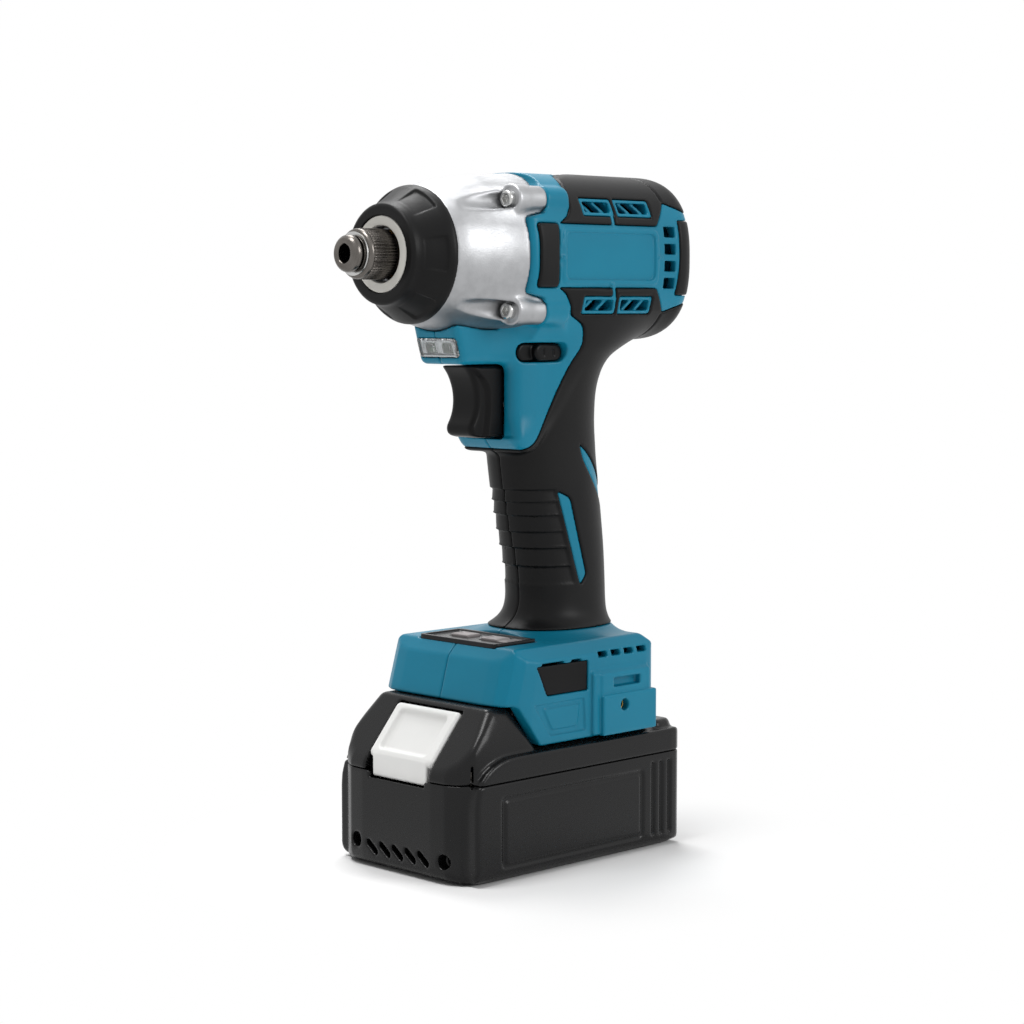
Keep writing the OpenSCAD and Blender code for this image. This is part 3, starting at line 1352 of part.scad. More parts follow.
module power_leads() {
  z0 = block_z + block_h + block_box[2] + gap;
  z1 = guard_z1 - switch_size[2] - nib - 2 * gap;
  h = z1 - deck_z;
  m = lead_x[1];
  color("#222324") {
    for (y = [-lead_pitch, lead_pitch]) lead([[lead_x[0], y, z0], [lead_x[0], y, deck_z + 0.15 * h],
      [lead_x[0] * 0.8, y, deck_z + 0.85 * h], [lead_x[0] * 0.55, y, z1]]);
    for (y = [-lead_pitch, 0, lead_pitch]) lead([[m, y, z0], [m * 1.12, y, deck_z + 0.14 * h],
      [m * 1.12, y, deck_z + 0.28 * h], [m * 0.94, y, deck_z + 0.84 * h], [m * 0.94, y,
          lever_z - lead_pitch * 2],
      [lead_x[0] + lead_r, y, axis_z - head_bore_r], [lead_x[0], y, axis_z - stator_r + past],
      [lead_x[0], y, axis_z - stator_r + yoke_t + past - 2 * gap]]);
  }
}
// Openings that the leads run through
module lead_passages() {
  block([lead_x[0] - corner_l, -passage_w, room_z - past], [lead_x[1] + corner_m, passage_w,
      deck_z + past * 2]);
  block([lead_x[0] - corner_m, -passage_w, guard_z1 - past], [lead_x[1], passage_w, axis_z - stator_r]);
}
module hook_inserts() {
  y = foot_half_w + lug_size[2];
  color("#B59A5B") both_sides() difference() {
    peg(hook_x, foot_low_z + hook_z, y - insert_l, y - gap, insert_r);
    peg(hook_x, foot_low_z + hook_z, y - insert_l - past, y + past, hook_r);
  }
}

// Battery

function pack_plan(w, x0, r) = bend([[x0, -w, r], [pack_half_l, -w, r * half], [pack_half_l, w,
    r * half], [x0, w, r]]);
function base_side(x0) = bend([[x0, seam_z, 0], [x0, pack_bevel[1], corner_m], [x0 + pack_bevel[0], 0,
    corner_s],
  [pack_half_l, 0, pack_round], [pack_half_l, seam_z, 0]]);
module base_form() {
  intersection() {
    side_cut(base_side(pack_front), pack_half_w + past);
    plan_cut(pack_plan(pack_half_w, pack_front, pack_corner), -past, seam_z + past);
  }
  intersection() {
    side_cut(bend([[cheek_x - pack_half_l, seam_z, 0], [cheek_x - pack_half_l, pack_bevel[1], corner_m],
      [cheek_x + pack_bevel[0] - pack_half_l, past, corner_m], [pack_half_l - nib, past, pack_round],
      [pack_half_l - nib, seam_z, 0]]), pack_half_w + cheek_t);
    plan_cut(pack_plan(pack_half_w + cheek_t, cheek_x - pack_half_l, cheek_t), 0, seam_z);
  }
}
module pack_room(z0, z1) {
  w = cell_l * half + gap;
  plan_cut(round_box(pack_front + pack_bevel[0], -w, pack_half_l - pack_wall - nib, w, corner_m), z0, z1);
}
module at_pack_screws() {
  for (x = [pack_front + pack_nose - pack_boss_r - 4 * gap, pack_half_l - pack_tail + pack_boss_r + gap], y = [-1, 1])
    translate([x, y * (pack_half_w - pack_screw_side), 0]) children();
}
module battery_base() {
  color("#1F2021") difference() {
    base_form();
    difference() {
      pack_room(pack_wall, seam_z + past);
      at_pack_screws() cylinder(h = seam_z, r = pack_boss_r);
    }
    at_pack_screws() translate([0, 0, -past]) cylinder(h = seam_z * 2, r = pack_screw[0] + gap);
    at_pack_screws() translate([0, 0, -past]) cylinder(h = pack_screw_z + past, r = pack_screw[1] + gap);
    latch_slot();
  }
}
module cover_form() {
  w = pack_half_w;
  intersection() {
    side_cut(bend([[pack_front, seam_z, 0], [pack_front, slope_z, corner_m], [slope_x, tower_z, corner_m],
      [-foot_slant_x - nib, tower_z, corner_s], [-foot_low_x - nib, shelf_z, corner_s],
      [pack_half_l - nib, shelf_z, corner_m], [pack_half_l, seam_z, 0]]), w + past);
    plan_cut(pack_plan(w, pack_front, pack_corner), seam_z, tower_z + past);
  }
  intersection() {
    side_cut(bend([[cheek_x - pack_half_l, seam_z, 0], [pack_half_l - nib, seam_z, 0],
      [pack_half_l - past, shelf_z - past, corner_m],
      [cheek_x + pack_corner - pack_half_l, shelf_z - nib, corner_l]]), w + cheek_t);
    plan_cut(pack_plan(w + cheek_t, cheek_x - pack_half_l, cheek_t), seam_z, shelf_z);
  }
  front_cut([[-neck_half_w, shelf_z - past], [neck_half_w, shelf_z - past], [neck_half_w, neck_z],
    [tower_half_w, neck_z], [tower_half_w, tower_z], [-tower_half_w, tower_z], [-tower_half_w, neck_z],
    [-neck_half_w, neck_z]], -foot_slant_x - past, tower_rear);
  side_cut(bend([[foot_rear + hump_gap, shelf_z - past, 0], [foot_rear + hump_gap, shelf_z + hump_h,
      corner_s], [pack_half_l - corner_m, shelf_z + hump_h, corner_s], [pack_half_l - past, shelf_z - past,
        0]]), w * 0.7);
}
function slope_off(p, d) = p - slope_n * d;
// Room of the latch plate and its springs
module latch_well() {
  w = latch_half_w + slide_gap;
  a = latch_lo - [slide_gap, slide_gap + past];
  b = latch_hi + [slide_gap, slide_gap];
  x = latch_spring_x + latch_post * half + slide_gap;
  side_cut([slope_off(a, -past * 3), slope_off(b, -past * 3), slope_off(b, latch_back),
    slope_off([x, slope_z + (x - pack_front) / slope_l * slope_h], latch_back + corner_s), [x,
        latch_seat], [a[0], latch_seat]], w);
  latch_slot();
}
// Slot of the latch's skirt
module latch_slot() {
  w = latch_half_w + slide_gap;
  z = latch_lo[1] - latch_skirt;
  block([latch_lo[0] - slide_gap, -w, z - latch_travel - slide_gap],
    [latch_lo[0] + latch_t + corner_s, w, latch_lo[1] + slide_gap]);
  block([pack_front - past, -w, z], [latch_lo[0] + latch_t + corner_s, w, latch_lo[1]]);
}
module battery_cover() {
  color("#1F2021") difference() {
    cover_form();
    pack_cover_room();
    latch_well();
    both_sides() block([blade_x - past, blade_y - past, neck_z - nib], [tower_rear + past,
        blade_y + past, tower_z + past]);
    at_pack_screws() translate([0, 0, -past]) cylinder(h = pack_screw_top + past + nib,
        r = pack_screw[0] + gap);
  }
}
module pack_cover_room() {
  difference() {
    block([cover_x, -cell_l * half - gap, seam_z - past],
      [pack_half_l - pack_wall - nib, cell_l * half + gap, shelf_z - pack_wall]);
    at_pack_screws() cylinder(h = shelf_z, r = pack_boss_r);
  }
  block([-foot_low_x, -neck_half_w + pack_wall, seam_z], [tower_rear - pack_wall,
      neck_half_w - pack_wall, tower_z - pack_wall]);
}
module latch_button() {
  s = slope_off(latch_lo, latch_t);
  x = latch_spring_x - latch_post * half;
  color("#E4E4E0") {
    side_cut([latch_lo, latch_hi, slope_off(latch_hi, latch_t), s], latch_half_w);
    side_cut([latch_lo, s, [latch_lo[0] + latch_t, latch_lo[1] - past], [latch_lo[0] + latch_t,
        latch_lo[1] - latch_skirt], [latch_lo[0], latch_lo[1] - latch_skirt]], latch_half_w);
    both_sides() translate([0, latch_spring_y, 0]) side_cut([[x, latch_post_z + run_gap],
        [x + latch_post, latch_post_z + run_gap],
      slope_off([x + latch_post, slope_z + (x + latch_post - pack_front) / slope_l * slope_h], nib),
      slope_off([x, slope_z + (x - pack_front) / slope_l * slope_h], nib)], latch_post * half);
  }
}
module latch_springs() {
  color("#9DA1A5") for (s = [-1, 1]) translate([latch_spring_x, s * latch_spring_y, latch_seat + run_gap])
    coil(latch_spring_l - run_gap, latch_coil[0], latch_coil[1], 3);
}
module cells_at(r, l) {
  for (i = [0 : columns - 1], k = [0 : tiers - 1])
    peg((i - (columns - 1) * half) * cell_pitch + cell_shift, cell_z0 + k * cell_pitch, -l, l, r);
}
module battery_cells() { color("#3E6FA8") cells_at(cell_r, cell_l * half); }
module cell_frames() {
  x = columns * cell_pitch * half + nib;
  color("#D8D6D0") difference() {
    both_sides() block([cell_shift - x, frame_y - frame_size[0], frame_z0], [cell_shift + x, frame_y,
        frame_top]);
    cells_at(cell_r + run_gap, wide);
    at_pack_screws() cylinder(h = wide, r = pack_boss_r + gap);
    block([-wide, -wide, seam_z - corner_s], [cover_x + gap, wide, wide]);
  }
}
module battery_board() {
  color("#2F6B45") block([-pack_board[0] * half, -pack_board[1], board_z], [pack_board[0] * half,
      pack_board[1], board_z + pack_board[2]]);
}
module battery_contacts() {
  c = contact_size;
  z = board_z + pack_board[2];
  color("#C0A060") both_sides() for (s = [-1, 1])
      let (y = blade_y + s * (blade_size[1] * half + gap + c[1] * half))
    block([blade_x + past, y - c[1] * half, z], [blade_x + past + c[0], y + c[1] * half, z + c[2]]);
}
module battery_screws() {
  color("#3A3B3D") at_pack_screws() {
    translate([0, 0, pack_screw_z - pack_screw[2] - run_gap]) cylinder(h = pack_screw[2],
        r = pack_screw[1]);
    translate([0, 0, pack_screw_z - nib]) cylinder(h = pack_screw_top - pack_screw_z, r = pack_screw[0]);
  }
}

anvil();
bit_sleeve();
sleeve_spring();
sleeve_washer();
retaining_ring();
detent_balls();
anvil_bush();
hammer_case();
nose_bumper();
case_screws();
hammer();
hammer_spring();
spring_seat();
cam_balls();
spindle();
planet_pins();
planet_gear_1();
planet_gear_2();
planet_gear_3();
ring_gear();
gear_plate();
spindle_bearing();
rotor_shaft();
rotor_core();
motor_fan();
front_bearing();
rear_bearing();
stator_core();
stator_coils();
sensor_board();
housing_left();
housing_right();
grip_left();
grip_right();
side_pads();
housing_screws();
trigger();
trigger_spring();
trigger_switch();
direction_lever();
lamp_lens();
lamp_board();
control_panel();
mode_key();
light_key();
controller_board();
terminal_block();
terminal_blades();
power_leads();
hook_inserts();
battery_base();
battery_cover();
latch_button();
latch_springs();
battery_cells();
cell_frames();
battery_board();
battery_contacts();
battery_screws();
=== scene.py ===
"""Dresses a cordless impact driver with a slide-on battery pack.

The outer mouldings, castings and rubber parts are modelled as signed distance
forms in millimetres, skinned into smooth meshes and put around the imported
frame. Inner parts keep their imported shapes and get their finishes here.
"""

import json
import logging
import math
from dataclasses import dataclass, field
from enum import Enum
from typing import Callable, Dict, List, Optional, Sequence, Tuple

import bpy
import numpy as np
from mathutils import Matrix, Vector


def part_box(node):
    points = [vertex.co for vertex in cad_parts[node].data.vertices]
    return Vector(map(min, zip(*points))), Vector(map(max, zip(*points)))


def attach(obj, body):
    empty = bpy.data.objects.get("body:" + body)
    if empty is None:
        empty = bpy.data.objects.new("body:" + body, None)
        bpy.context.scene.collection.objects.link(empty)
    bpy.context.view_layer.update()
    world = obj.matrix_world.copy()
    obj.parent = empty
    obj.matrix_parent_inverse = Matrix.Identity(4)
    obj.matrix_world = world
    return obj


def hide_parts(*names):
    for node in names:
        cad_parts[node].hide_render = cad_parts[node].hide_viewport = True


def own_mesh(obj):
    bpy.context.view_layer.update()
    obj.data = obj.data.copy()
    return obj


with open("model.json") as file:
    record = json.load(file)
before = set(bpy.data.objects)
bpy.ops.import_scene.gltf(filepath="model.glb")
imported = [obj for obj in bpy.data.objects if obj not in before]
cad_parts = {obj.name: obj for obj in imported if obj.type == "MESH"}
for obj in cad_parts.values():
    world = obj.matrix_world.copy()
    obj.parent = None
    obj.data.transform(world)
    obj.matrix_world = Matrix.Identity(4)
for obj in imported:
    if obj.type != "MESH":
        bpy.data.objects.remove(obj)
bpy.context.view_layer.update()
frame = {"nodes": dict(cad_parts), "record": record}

LOG = logging.getLogger("impact_driver")
MM = 0.001
AXIS_Z = 223.5
FAR = 300.0
SEAM_GAP = 0.04
QUICK_STEP = 1.0

Points = np.ndarray
Pair = Tuple[float, float]
Triple = Tuple[float, float, float]


class Rides(Enum):
    """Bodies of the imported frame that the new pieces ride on."""

    BODY = "body"
    SPINDLE = "spindle_body"
    ANVIL = "anvil_body"
    SLEEVE = "sleeve_body"
    TRIGGER = "trigger_body"
    LEVER = "lever_body"
    MODE_KEY = "mode_key_body"
    LIGHT_KEY = "light_key_body"
    BATTERY = "battery_body"
    LATCH = "latch_body"


class Side(Enum):
    """The two halves of the housing; the value is the sign of Y."""

    LEFT = -1
    RIGHT = 1

    def span(self, near: float, far: float) -> Pair:
        """Lowest and highest Y of a strip on this side, measured outwards."""
        return (near, far) if self is Side.RIGHT else (-far, -near)

    def space(self) -> "Form":
        """Everything on this side, just clear of the middle plane."""
        return Form(lambda p: SEAM_GAP - self.value * p[:, 1])


def copies(points: np.ndarray, faces: np.ndarray,
           shifts: Sequence[Triple]) -> Tuple[np.ndarray, np.ndarray]:
    """Points and faces of a mesh copied to several places, each moved by a shift."""
    return (np.concatenate([points + np.array(shift) for shift in shifts]),
            np.concatenate([faces + i * len(points) for i in range(len(shifts))]))


# ---------------------------------------------------------------- forms


def soft_min(a: np.ndarray, b: np.ndarray, k: float) -> np.ndarray:
    """Least of two distances, with a fillet.

    Args:
        a: First distances.
        b: Second distances.
        k: Width of the fillet in millimetres, 0 for a sharp edge.

    Returns:
        The blended distances.
    """
    if k <= 0.0:
        return np.minimum(a, b)
    h = np.maximum(k - np.abs(a - b), 0.0) / k
    return np.minimum(a, b) - h * h * k * 0.25


def soft_max(a: np.ndarray, b: np.ndarray, k: float) -> np.ndarray:
    """Greatest of two distances, with an edge rounded over k millimetres."""
    return -soft_min(-a, -b, k)


@dataclass(frozen=True)
class Form:
    """A solid given by its signed distance in millimetres, negative inside."""

    at: Callable[[Points], np.ndarray]

    def join(self, other: "Form", k: float = 0.6) -> "Form":
        """This form together with another, with a fillet of k."""
        return Form(lambda p: soft_min(self.at(p), other.at(p), k))

    def keep(self, other: "Form", k: float = 0.6) -> "Form":
        """What this form shares with another, with edges rounded over k."""
        return Form(lambda p: soft_max(self.at(p), other.at(p), k))

    def cut(self, other: "Form", k: float = 0.6) -> "Form":
        """This form without another, with edges rounded over k."""
        return Form(lambda p: soft_max(self.at(p), -other.at(p), k))

    def grow(self, by: float) -> "Form":
        """This form with its skin moved outwards."""
        return Form(lambda p: self.at(p) - by)

    def sink(self, region: "Form", depth: float, k: float = 0.5) -> "Form":
        """Lowers the skin inside a region.

        Args:
            region: Where the skin is lowered.
            depth: How far, in millimetres.
            k: Rounding of the step.

        Returns:
            The form with the recess.
        """

        def at(p: Points) -> np.ndarray:
            """Distance of the recessed form."""
            f = self.at(p)
            return soft_max(f, soft_min(f + depth, -region.at(p), k), k)

        return Form(at)

    def stand(self, region: "Form", height: float, k: float = 0.5) -> "Form":
        """Raises the skin inside a region, as a recess of the space around it."""
        around = Form(lambda p: -self.at(p)).sink(region, height, k)
        return Form(lambda p: -around.at(p))

    def mirrored(self) -> "Form":
        """This form and its mirror image across the middle plane."""
        return Form(lambda p: self.at(np.stack([p[:, 0], -np.abs(p[:, 1]), p[:, 2]], 1)))

    def doubled(self) -> "Form":
        """This form and its mirror image across the level of the drive axis."""
        return Form(lambda p: self.at(np.stack(
            [p[:, 0], p[:, 1], AXIS_Z + np.abs(p[:, 2] - AXIS_Z)], 1)))

    def within(self, lo: Triple, hi: Triple, margin: float = 4.0) -> "Form":
        """This form, worked out only near the box that it lies in.

        Args:
            lo: Lowest corner of the box.
            hi: Highest corner of the box.
            margin: How far around the box it is worked out.

        Returns:
            The same form, with a lower bound of its distance further away.
        """

        def at(p: Points) -> np.ndarray:
            """Distance to the form."""
            gap = np.full(len(p), -FAR, p.dtype)
            for i in range(3):
                gap = np.maximum(gap, np.maximum(lo[i] - p[:, i], p[:, i] - hi[i]))
            near = gap < margin
            gap[near] = self.at(p[near])
            return gap

        return Form(at)


def bend(corners: Sequence[Triple], steps: int = 5) -> np.ndarray:
    """Rounds the corners of an outline.

    Args:
        corners: Corner places and the length cut off beside each.
        steps: Points on each rounded corner.

    Returns:
        The outline's points.
    """
    c = np.array(corners, float)
    out: List[np.ndarray] = []
    for i in range(len(c)):
        here, back, on = c[i, :2], c[i - 1, :2], c[(i + 1) % len(c), :2]
        cut = c[i, 2]
        if cut <= 0.0:
            out.append(here)
            continue
        a = here + (back - here) * min(cut / np.linalg.norm(back - here), 0.499)
        b = here + (on - here) * min(cut / np.linalg.norm(on - here), 0.499)
        for t in np.linspace(0.0, 1.0, steps):
            out.append(a * (1 - t) ** 2 + here * 2 * t * (1 - t) + b * t * t)
    return np.array(out)


def outline_distance(line: np.ndarray, u: np.ndarray, v: np.ndarray) -> np.ndarray:
    """Signed distance from points of a plane to a closed outline.

    Args:
        line: The outline's points.
        u: First coordinates.
        v: Second coordinates.

    Returns:
        Distances, negative inside.
    """
    best = np.full(u.shape, 1e12)
    sign = np.ones(u.shape)
    for i in range(len(line)):
        a, b = line[i], line[i - 1]
        e = b - a
        wu, wv = u - a[0], v - a[1]
        t = np.clip((wu * e[0] + wv * e[1]) / max(float(e @ e), 1e-12), 0.0, 1.0)
        best = np.minimum(best, (wu - e[0] * t) ** 2 + (wv - e[1] * t) ** 2)
        above, below, left = v >= a[1], v < b[1], e[0] * wv > e[1] * wu
        sign = np.where((above & below & left) | ~(above | below | left), -sign, sign)
    return sign * np.sqrt(best)


def near_outline(line: np.ndarray, u: np.ndarray, v: np.ndarray,
                 margin: float = 8.0) -> np.ndarray:
    """Distance to an outline, exact near it and a lower bound further away.

    Args:
        line: The outline's points.
        u: First coordinates.
        v: Second coordinates.
        margin: How far around the outline the distance is exact.

    Returns:
        Distances, negative inside.
    """
    lo, hi = line.min(0), line.max(0)
    gap = np.maximum(np.maximum(lo[0] - u, u - hi[0]), np.maximum(lo[1] - v, v - hi[1]))
    near = gap < margin
    out = gap.copy()
    out[near] = outline_distance(line, u[near], v[near])
    return out


def side_region(corners: Sequence[Triple]) -> Form:
    """An outline seen from the side, through the whole width."""
    line = bend(corners)
    return Form(lambda p: near_outline(line, p[:, 0], p[:, 2]))


def plan_region(x0: float, x1: float, y: float, front: float, rear: float) -> Form:
    """A rectangle seen from above, -y to y wide, with its corners cut by two lengths."""
    line = bend([(x0, -y, front), (x1, -y, rear), (x1, y, rear), (x0, y, front)])
    return Form(lambda p: near_outline(line, p[:, 0], p[:, 1]))


def side_table(form: Form, lo: Pair, hi: Pair, step: float = 0.2) -> Form:
    """Works a side view out once, as a table to read from.

    Args:
        form: A form that is the same through the whole width.
        lo: Lowest X and Z of the table.
        hi: Highest X and Z of the table.
        step: Distance between entries, in millimetres.

    Returns:
        The same form, read from the table.
    """
    xs, zs = np.arange(lo[0], hi[0] + step, step), np.arange(lo[1], hi[1] + step, step)
    grid = np.stack(np.meshgrid(xs, [0.0], zs, indexing="ij"), -1).reshape(-1, 3)
    table = form.at(grid).reshape(len(xs), len(zs)).astype(np.float32)

    def at(p: Points) -> np.ndarray:
        """Distance read from the table."""
        u = np.clip((p[:, 0] - lo[0]) / step, 0.0, len(xs) - 1.001)
        v = np.clip((p[:, 2] - lo[1]) / step, 0.0, len(zs) - 1.001)
        i, j = u.astype(np.int32), v.astype(np.int32)
        a, b = u - i, v - j
        low = table[i, j] * (1 - b) + table[i, j + 1] * b
        high = table[i + 1, j] * (1 - b) + table[i + 1, j + 1] * b
        return low * (1 - a) + high * a

    return Form(at)


def patch(x0: float, x1: float, z0: float, z1: float, r: float) -> Form:
    """A rounded rectangle seen from the side, through the whole width."""
    return box((x0, -FAR, z0), (x1, FAR, z1), r)


def bands(x0: float, x1: float, d0: float, d1: float, r: float) -> Form:
    """Two patches, one d0 to d1 above the drive axis and one as far below it."""
    return patch(x0, x1, AXIS_Z + d0, AXIS_Z + d1, r).doubled()


def box(lo: Triple, hi: Triple, r: float = 0.6) -> Form:
    """A block with rounded edges.

    Args:
        lo: Lowest corner.
        hi: Highest corner.
        r: Edge radius.

    Returns:
        The block.
    """
    a, b = np.array(lo, float), np.array(hi, float)
    mid, half = (a + b) / 2, (b - a) / 2
    r = min(r, float(half.min()))

    def at(p: Points) -> np.ndarray:
        """Distance to the block."""
        q = [np.abs(p[:, i] - mid[i]) - (half[i] - r) for i in range(3)]
        most = np.maximum(np.maximum(q[0], q[1]), q[2])
        if r <= 0.0:
            return most
        x, y, z = (np.maximum(part, 0.0) for part in q)
        return np.sqrt(x * x + y * y + z * z) + np.minimum(most, 0.0) - r

    return Form(at)


def both_sides(x0: float, x1: float, y0: float, y1: float, z0: float, z1: float,
               r: float = 0.6) -> Form:
    """Two blocks, one a side, with Y measured outwards from the middle."""
    return box((x0, -y1, z0), (x1, -y0, z1), r).mirrored()


def rod(axis: int, at: Pair, r: float, lo: float, hi: float, k: float = 0.6) -> Form:
    """A round bar.

    Args:
        axis: Direction, 0 for X, 1 for Y, 2 for Z.
        at: Its place in the two other directions, in order.
        r: Radius.
        lo: First end.
        hi: Second end.
        k: Rounding of the ends.

    Returns:
        The bar.
    """
    others = [i for i in (0, 1, 2) if i != axis]

    def place(p: Points) -> np.ndarray:
        """Distance to the bar."""
        d = np.hypot(p[:, others[0]] - at[0], p[:, others[1]] - at[1]) - r
        return soft_max(d, np.maximum(lo - p[:, axis], p[:, axis] - hi), k)

    return Form(place)


def turned(corners: Sequence[Triple]) -> Form:
    """A solid turned about the drive axis from an outline of X and radius."""
    line = bend(corners)
    return Form(lambda p: near_outline(
        line, p[:, 0], np.hypot(p[:, 1], p[:, 2] - AXIS_Z)))


def plane(normal: Triple, through: Triple) -> Form:
    """Everything behind a plane."""
    n = np.array(normal, float)
    n /= np.linalg.norm(n)
    d = float(n @ np.array(through, float))
    return Form(lambda p: p @ n - d)


def curve_table(rows: Sequence[Pair], count: int = 240) -> Tuple[np.ndarray, np.ndarray]:
    """Smooth curve through points, as a dense table.

    Args:
        rows: Rising places and the values there.
        count: Entries of the table.

    Returns:
        Places and values.
    """
    x = np.array([r[0] for r in rows], float)
    y = np.array([r[1] for r in rows], float)
    slope = np.diff(y) / np.diff(x)
    m = np.concatenate([slope[:1], slope, slope[-1:]])
    tangent = np.where(m[:-1] * m[1:] > 0.0, (m[:-1] + m[1:]) / 2, 0.0)
    limit = 3.0 * np.minimum(np.abs(m[:-1]), np.abs(m[1:]))
    tangent = np.clip(tangent, -limit, limit)
    u = np.linspace(x[0], x[-1], count)
    i = np.clip(np.searchsorted(x, u, side="right") - 1, 0, len(x) - 2)
    h = x[i + 1] - x[i]
    t = (u - x[i]) / h
    v = (y[i] * (2 * t ** 3 - 3 * t ** 2 + 1) + tangent[i] * h * (t ** 3 - 2 * t ** 2 + t)
         + y[i + 1] * (3 * t ** 2 - 2 * t ** 3) + tangent[i + 1] * h * (t ** 3 - t ** 2))
    return u, v


def ramp(v: np.ndarray, a: float, b: float) -> np.ndarray:
    """Smooth step from 0 at a to 1 at b."""
    t = np.clip((v - a) / (b - a), 0.0, 1.0)
    return t * t * (3 - 2 * t)


def oval(u: np.ndarray, v: np.ndarray, a: np.ndarray, b: np.ndarray, n: float) -> np.ndarray:
    """Distance to an oval of half lengths a and b, flatter at the sides for n over 2."""
    q = np.power(np.power(u / a, n) + np.power(v / b, n) + 1e-9, 1 / n)
    return np.hypot(u, v) * (1 - 1 / q)


# ---------------------------------------------------------------- skinning


@dataclass
class Skinner:
    """Turns forms into quad meshes that follow their zero distance.

    Only blocks of cells whose middle lies within slack block widths of the
    skin are sampled. The points are then settled onto the skin.
    """

    block: int = 4
    rim: float = 2.3
    slack: float = 1.305
    batch: int = 60000
    settle: int = 2
    settle_step: float = 0.4

    def skin(self, form: Form, lo: Triple, hi: Triple,
             step: float) -> Tuple[np.ndarray, np.ndarray]:
        """Skins a form inside a box.

        Args:
            form: The solid.
            lo: Lowest corner of the box.
            hi: Highest corner of the box.
            step: Size of a mesh face in millimetres.

        Returns:
            Points in millimetres, and faces of four points each.
        """
        step *= QUICK_STEP
        wide = step * self.block
        start = (np.array(lo) - self.rim * step).astype(np.float32)
        blocks = np.ceil((np.array(hi) + self.rim * step - start) / wide).astype(int)
        cells = blocks * self.block
        grid = np.stack(np.meshgrid(*[np.arange(n) for n in blocks], indexing="ij"), -1)
        grid = grid.reshape(-1, 3)
        middles = (start + (grid + 0.5) * wide).astype(np.float32)
        busy = grid[np.abs(form.at(middles)) < wide * self.slack]
        inside = np.zeros(cells + 1, bool)
        known = np.zeros(cells + 1, bool)
        live = np.zeros(cells, bool)
        for d in np.ndindex(*(self.block + 1,) * 3):
            i = busy * self.block + np.array(d)
            known[i[:, 0], i[:, 1], i[:, 2]] = True
            if max(d) < self.block:
                live[i[:, 0], i[:, 1], i[:, 2]] = True
        samples = np.argwhere(known)
        value = np.full(cells + 1, 1e3, np.float32)
        value[known] = np.concatenate([
            form.at((start + part * step).astype(np.float32))
            for part in np.array_split(samples, max(1, len(samples) // self.batch))])
        inside[known] = value[known] < 0.0
        points, slope, index = self._points(value, inside, live, start, step)
        faces = self._faces(inside, known, index)
        return self._settled(form, points, slope, step), faces

    def _points(self, value: np.ndarray, inside: np.ndarray, live: np.ndarray,
                start: np.ndarray,
                step: float) -> Tuple[np.ndarray, np.ndarray, np.ndarray]:
        """One point in each cell that the skin crosses.

        Args:
            value: Distances at the samples.
            inside: Which samples are inside.
            live: Which cells are near the skin.
            start: Place of the first sample.
            step: Distance between samples.

        Returns:
            The points, the slope of the distance there, and each cell's
            point number or -1.
        """
        corners = list(np.ndindex(2, 2, 2))
        shape = live.shape
        count = np.zeros(shape, np.int8)
        for c in corners:
            count += inside[tuple(slice(c[i], c[i] + shape[i]) for i in range(3))]
        cell = np.argwhere(live & (count > 0) & (count < 8))
        total = np.zeros((len(cell), 3))
        slope = np.zeros((len(cell), 3))
        hits = np.zeros(len(cell))
        for c in corners:
            for axis in range(3):
                if c[axis]:
                    continue
                d = list(c)
                d[axis] = 1
                i, j = cell + np.array(c), cell + np.array(d)
                a = value[i[:, 0], i[:, 1], i[:, 2]].astype(float)
                b = value[j[:, 0], j[:, 1], j[:, 2]].astype(float)
                slope[:, axis] += (b - a) / (4.0 * step)
                cross = (a < 0.0) != (b < 0.0)
                t = np.where(cross, a / np.where(cross, a - b, 1.0), 0.0)
                spot = np.tile(np.array(c, float), (len(cell), 1))
                spot[:, axis] += t
                total += spot * cross[:, None]
                hits += cross
        index = np.full(shape, -1, np.int64)
        index[cell[:, 0], cell[:, 1], cell[:, 2]] = np.arange(len(cell))
        return start + (cell + total / hits[:, None]) * step, slope, index

    def _faces(self, inside: np.ndarray, known: np.ndarray, index: np.ndarray) -> np.ndarray:
        """One face across each sample edge that the skin crosses.

        Args:
            inside: Which samples are inside.
            known: Which samples were evaluated.
            index: Each cell's point number or -1.

        Returns:
            Faces of four point numbers.
        """
        faces: List[np.ndarray] = []
        for axis in range(3):
            u, v = (axis + 1) % 3, (axis + 2) % 3
            first = [slice(1, -1)] * 3
            second = [slice(1, -1)] * 3
            first[axis], second[axis] = slice(0, -1), slice(1, None)
            a, b = inside[tuple(first)], inside[tuple(second)]
            both = known[tuple(first)] & known[tuple(second)]
            edge = np.argwhere((a != b) & both)
            out = a[edge[:, 0], edge[:, 1], edge[:, 2]]
            base = edge.copy()
            base[:, u] += 1
            base[:, v] += 1
            ring = []
            for du, dv in ((-1, -1), (0, -1), (0, 0), (-1, 0)):
                q = base.copy()
                q[:, u] += du
                q[:, v] += dv
                ring.append(index[q[:, 0], q[:, 1], q[:, 2]])
            quad = np.stack(ring, 1)
            quad[~out] = quad[~out][:, ::-1]
            faces.append(quad[(quad >= 0).all(1)])
        return np.concatenate(faces)

    def _settled(self, form: Form, points: np.ndarray, slope: np.ndarray,
                 step: float) -> np.ndarray:
        """Moves the points onto the form's skin.

        Args:
            form: The solid.
            points: Points near its skin.
            slope: Slope of the distance at each point.
            step: Size of a mesh face.

        Returns:
            The moved points.
        """
        size = np.maximum((slope * slope).sum(1), 0.4)
        most = self.settle_step * step
        for _ in range(self.settle):
            far = np.clip(form.at(points.astype(np.float32)) / size, -most, most)
            points = points - far[:, None] * slope
        return points


SKINNER = Skinner()


# ---------------------------------------------------------------- finishes


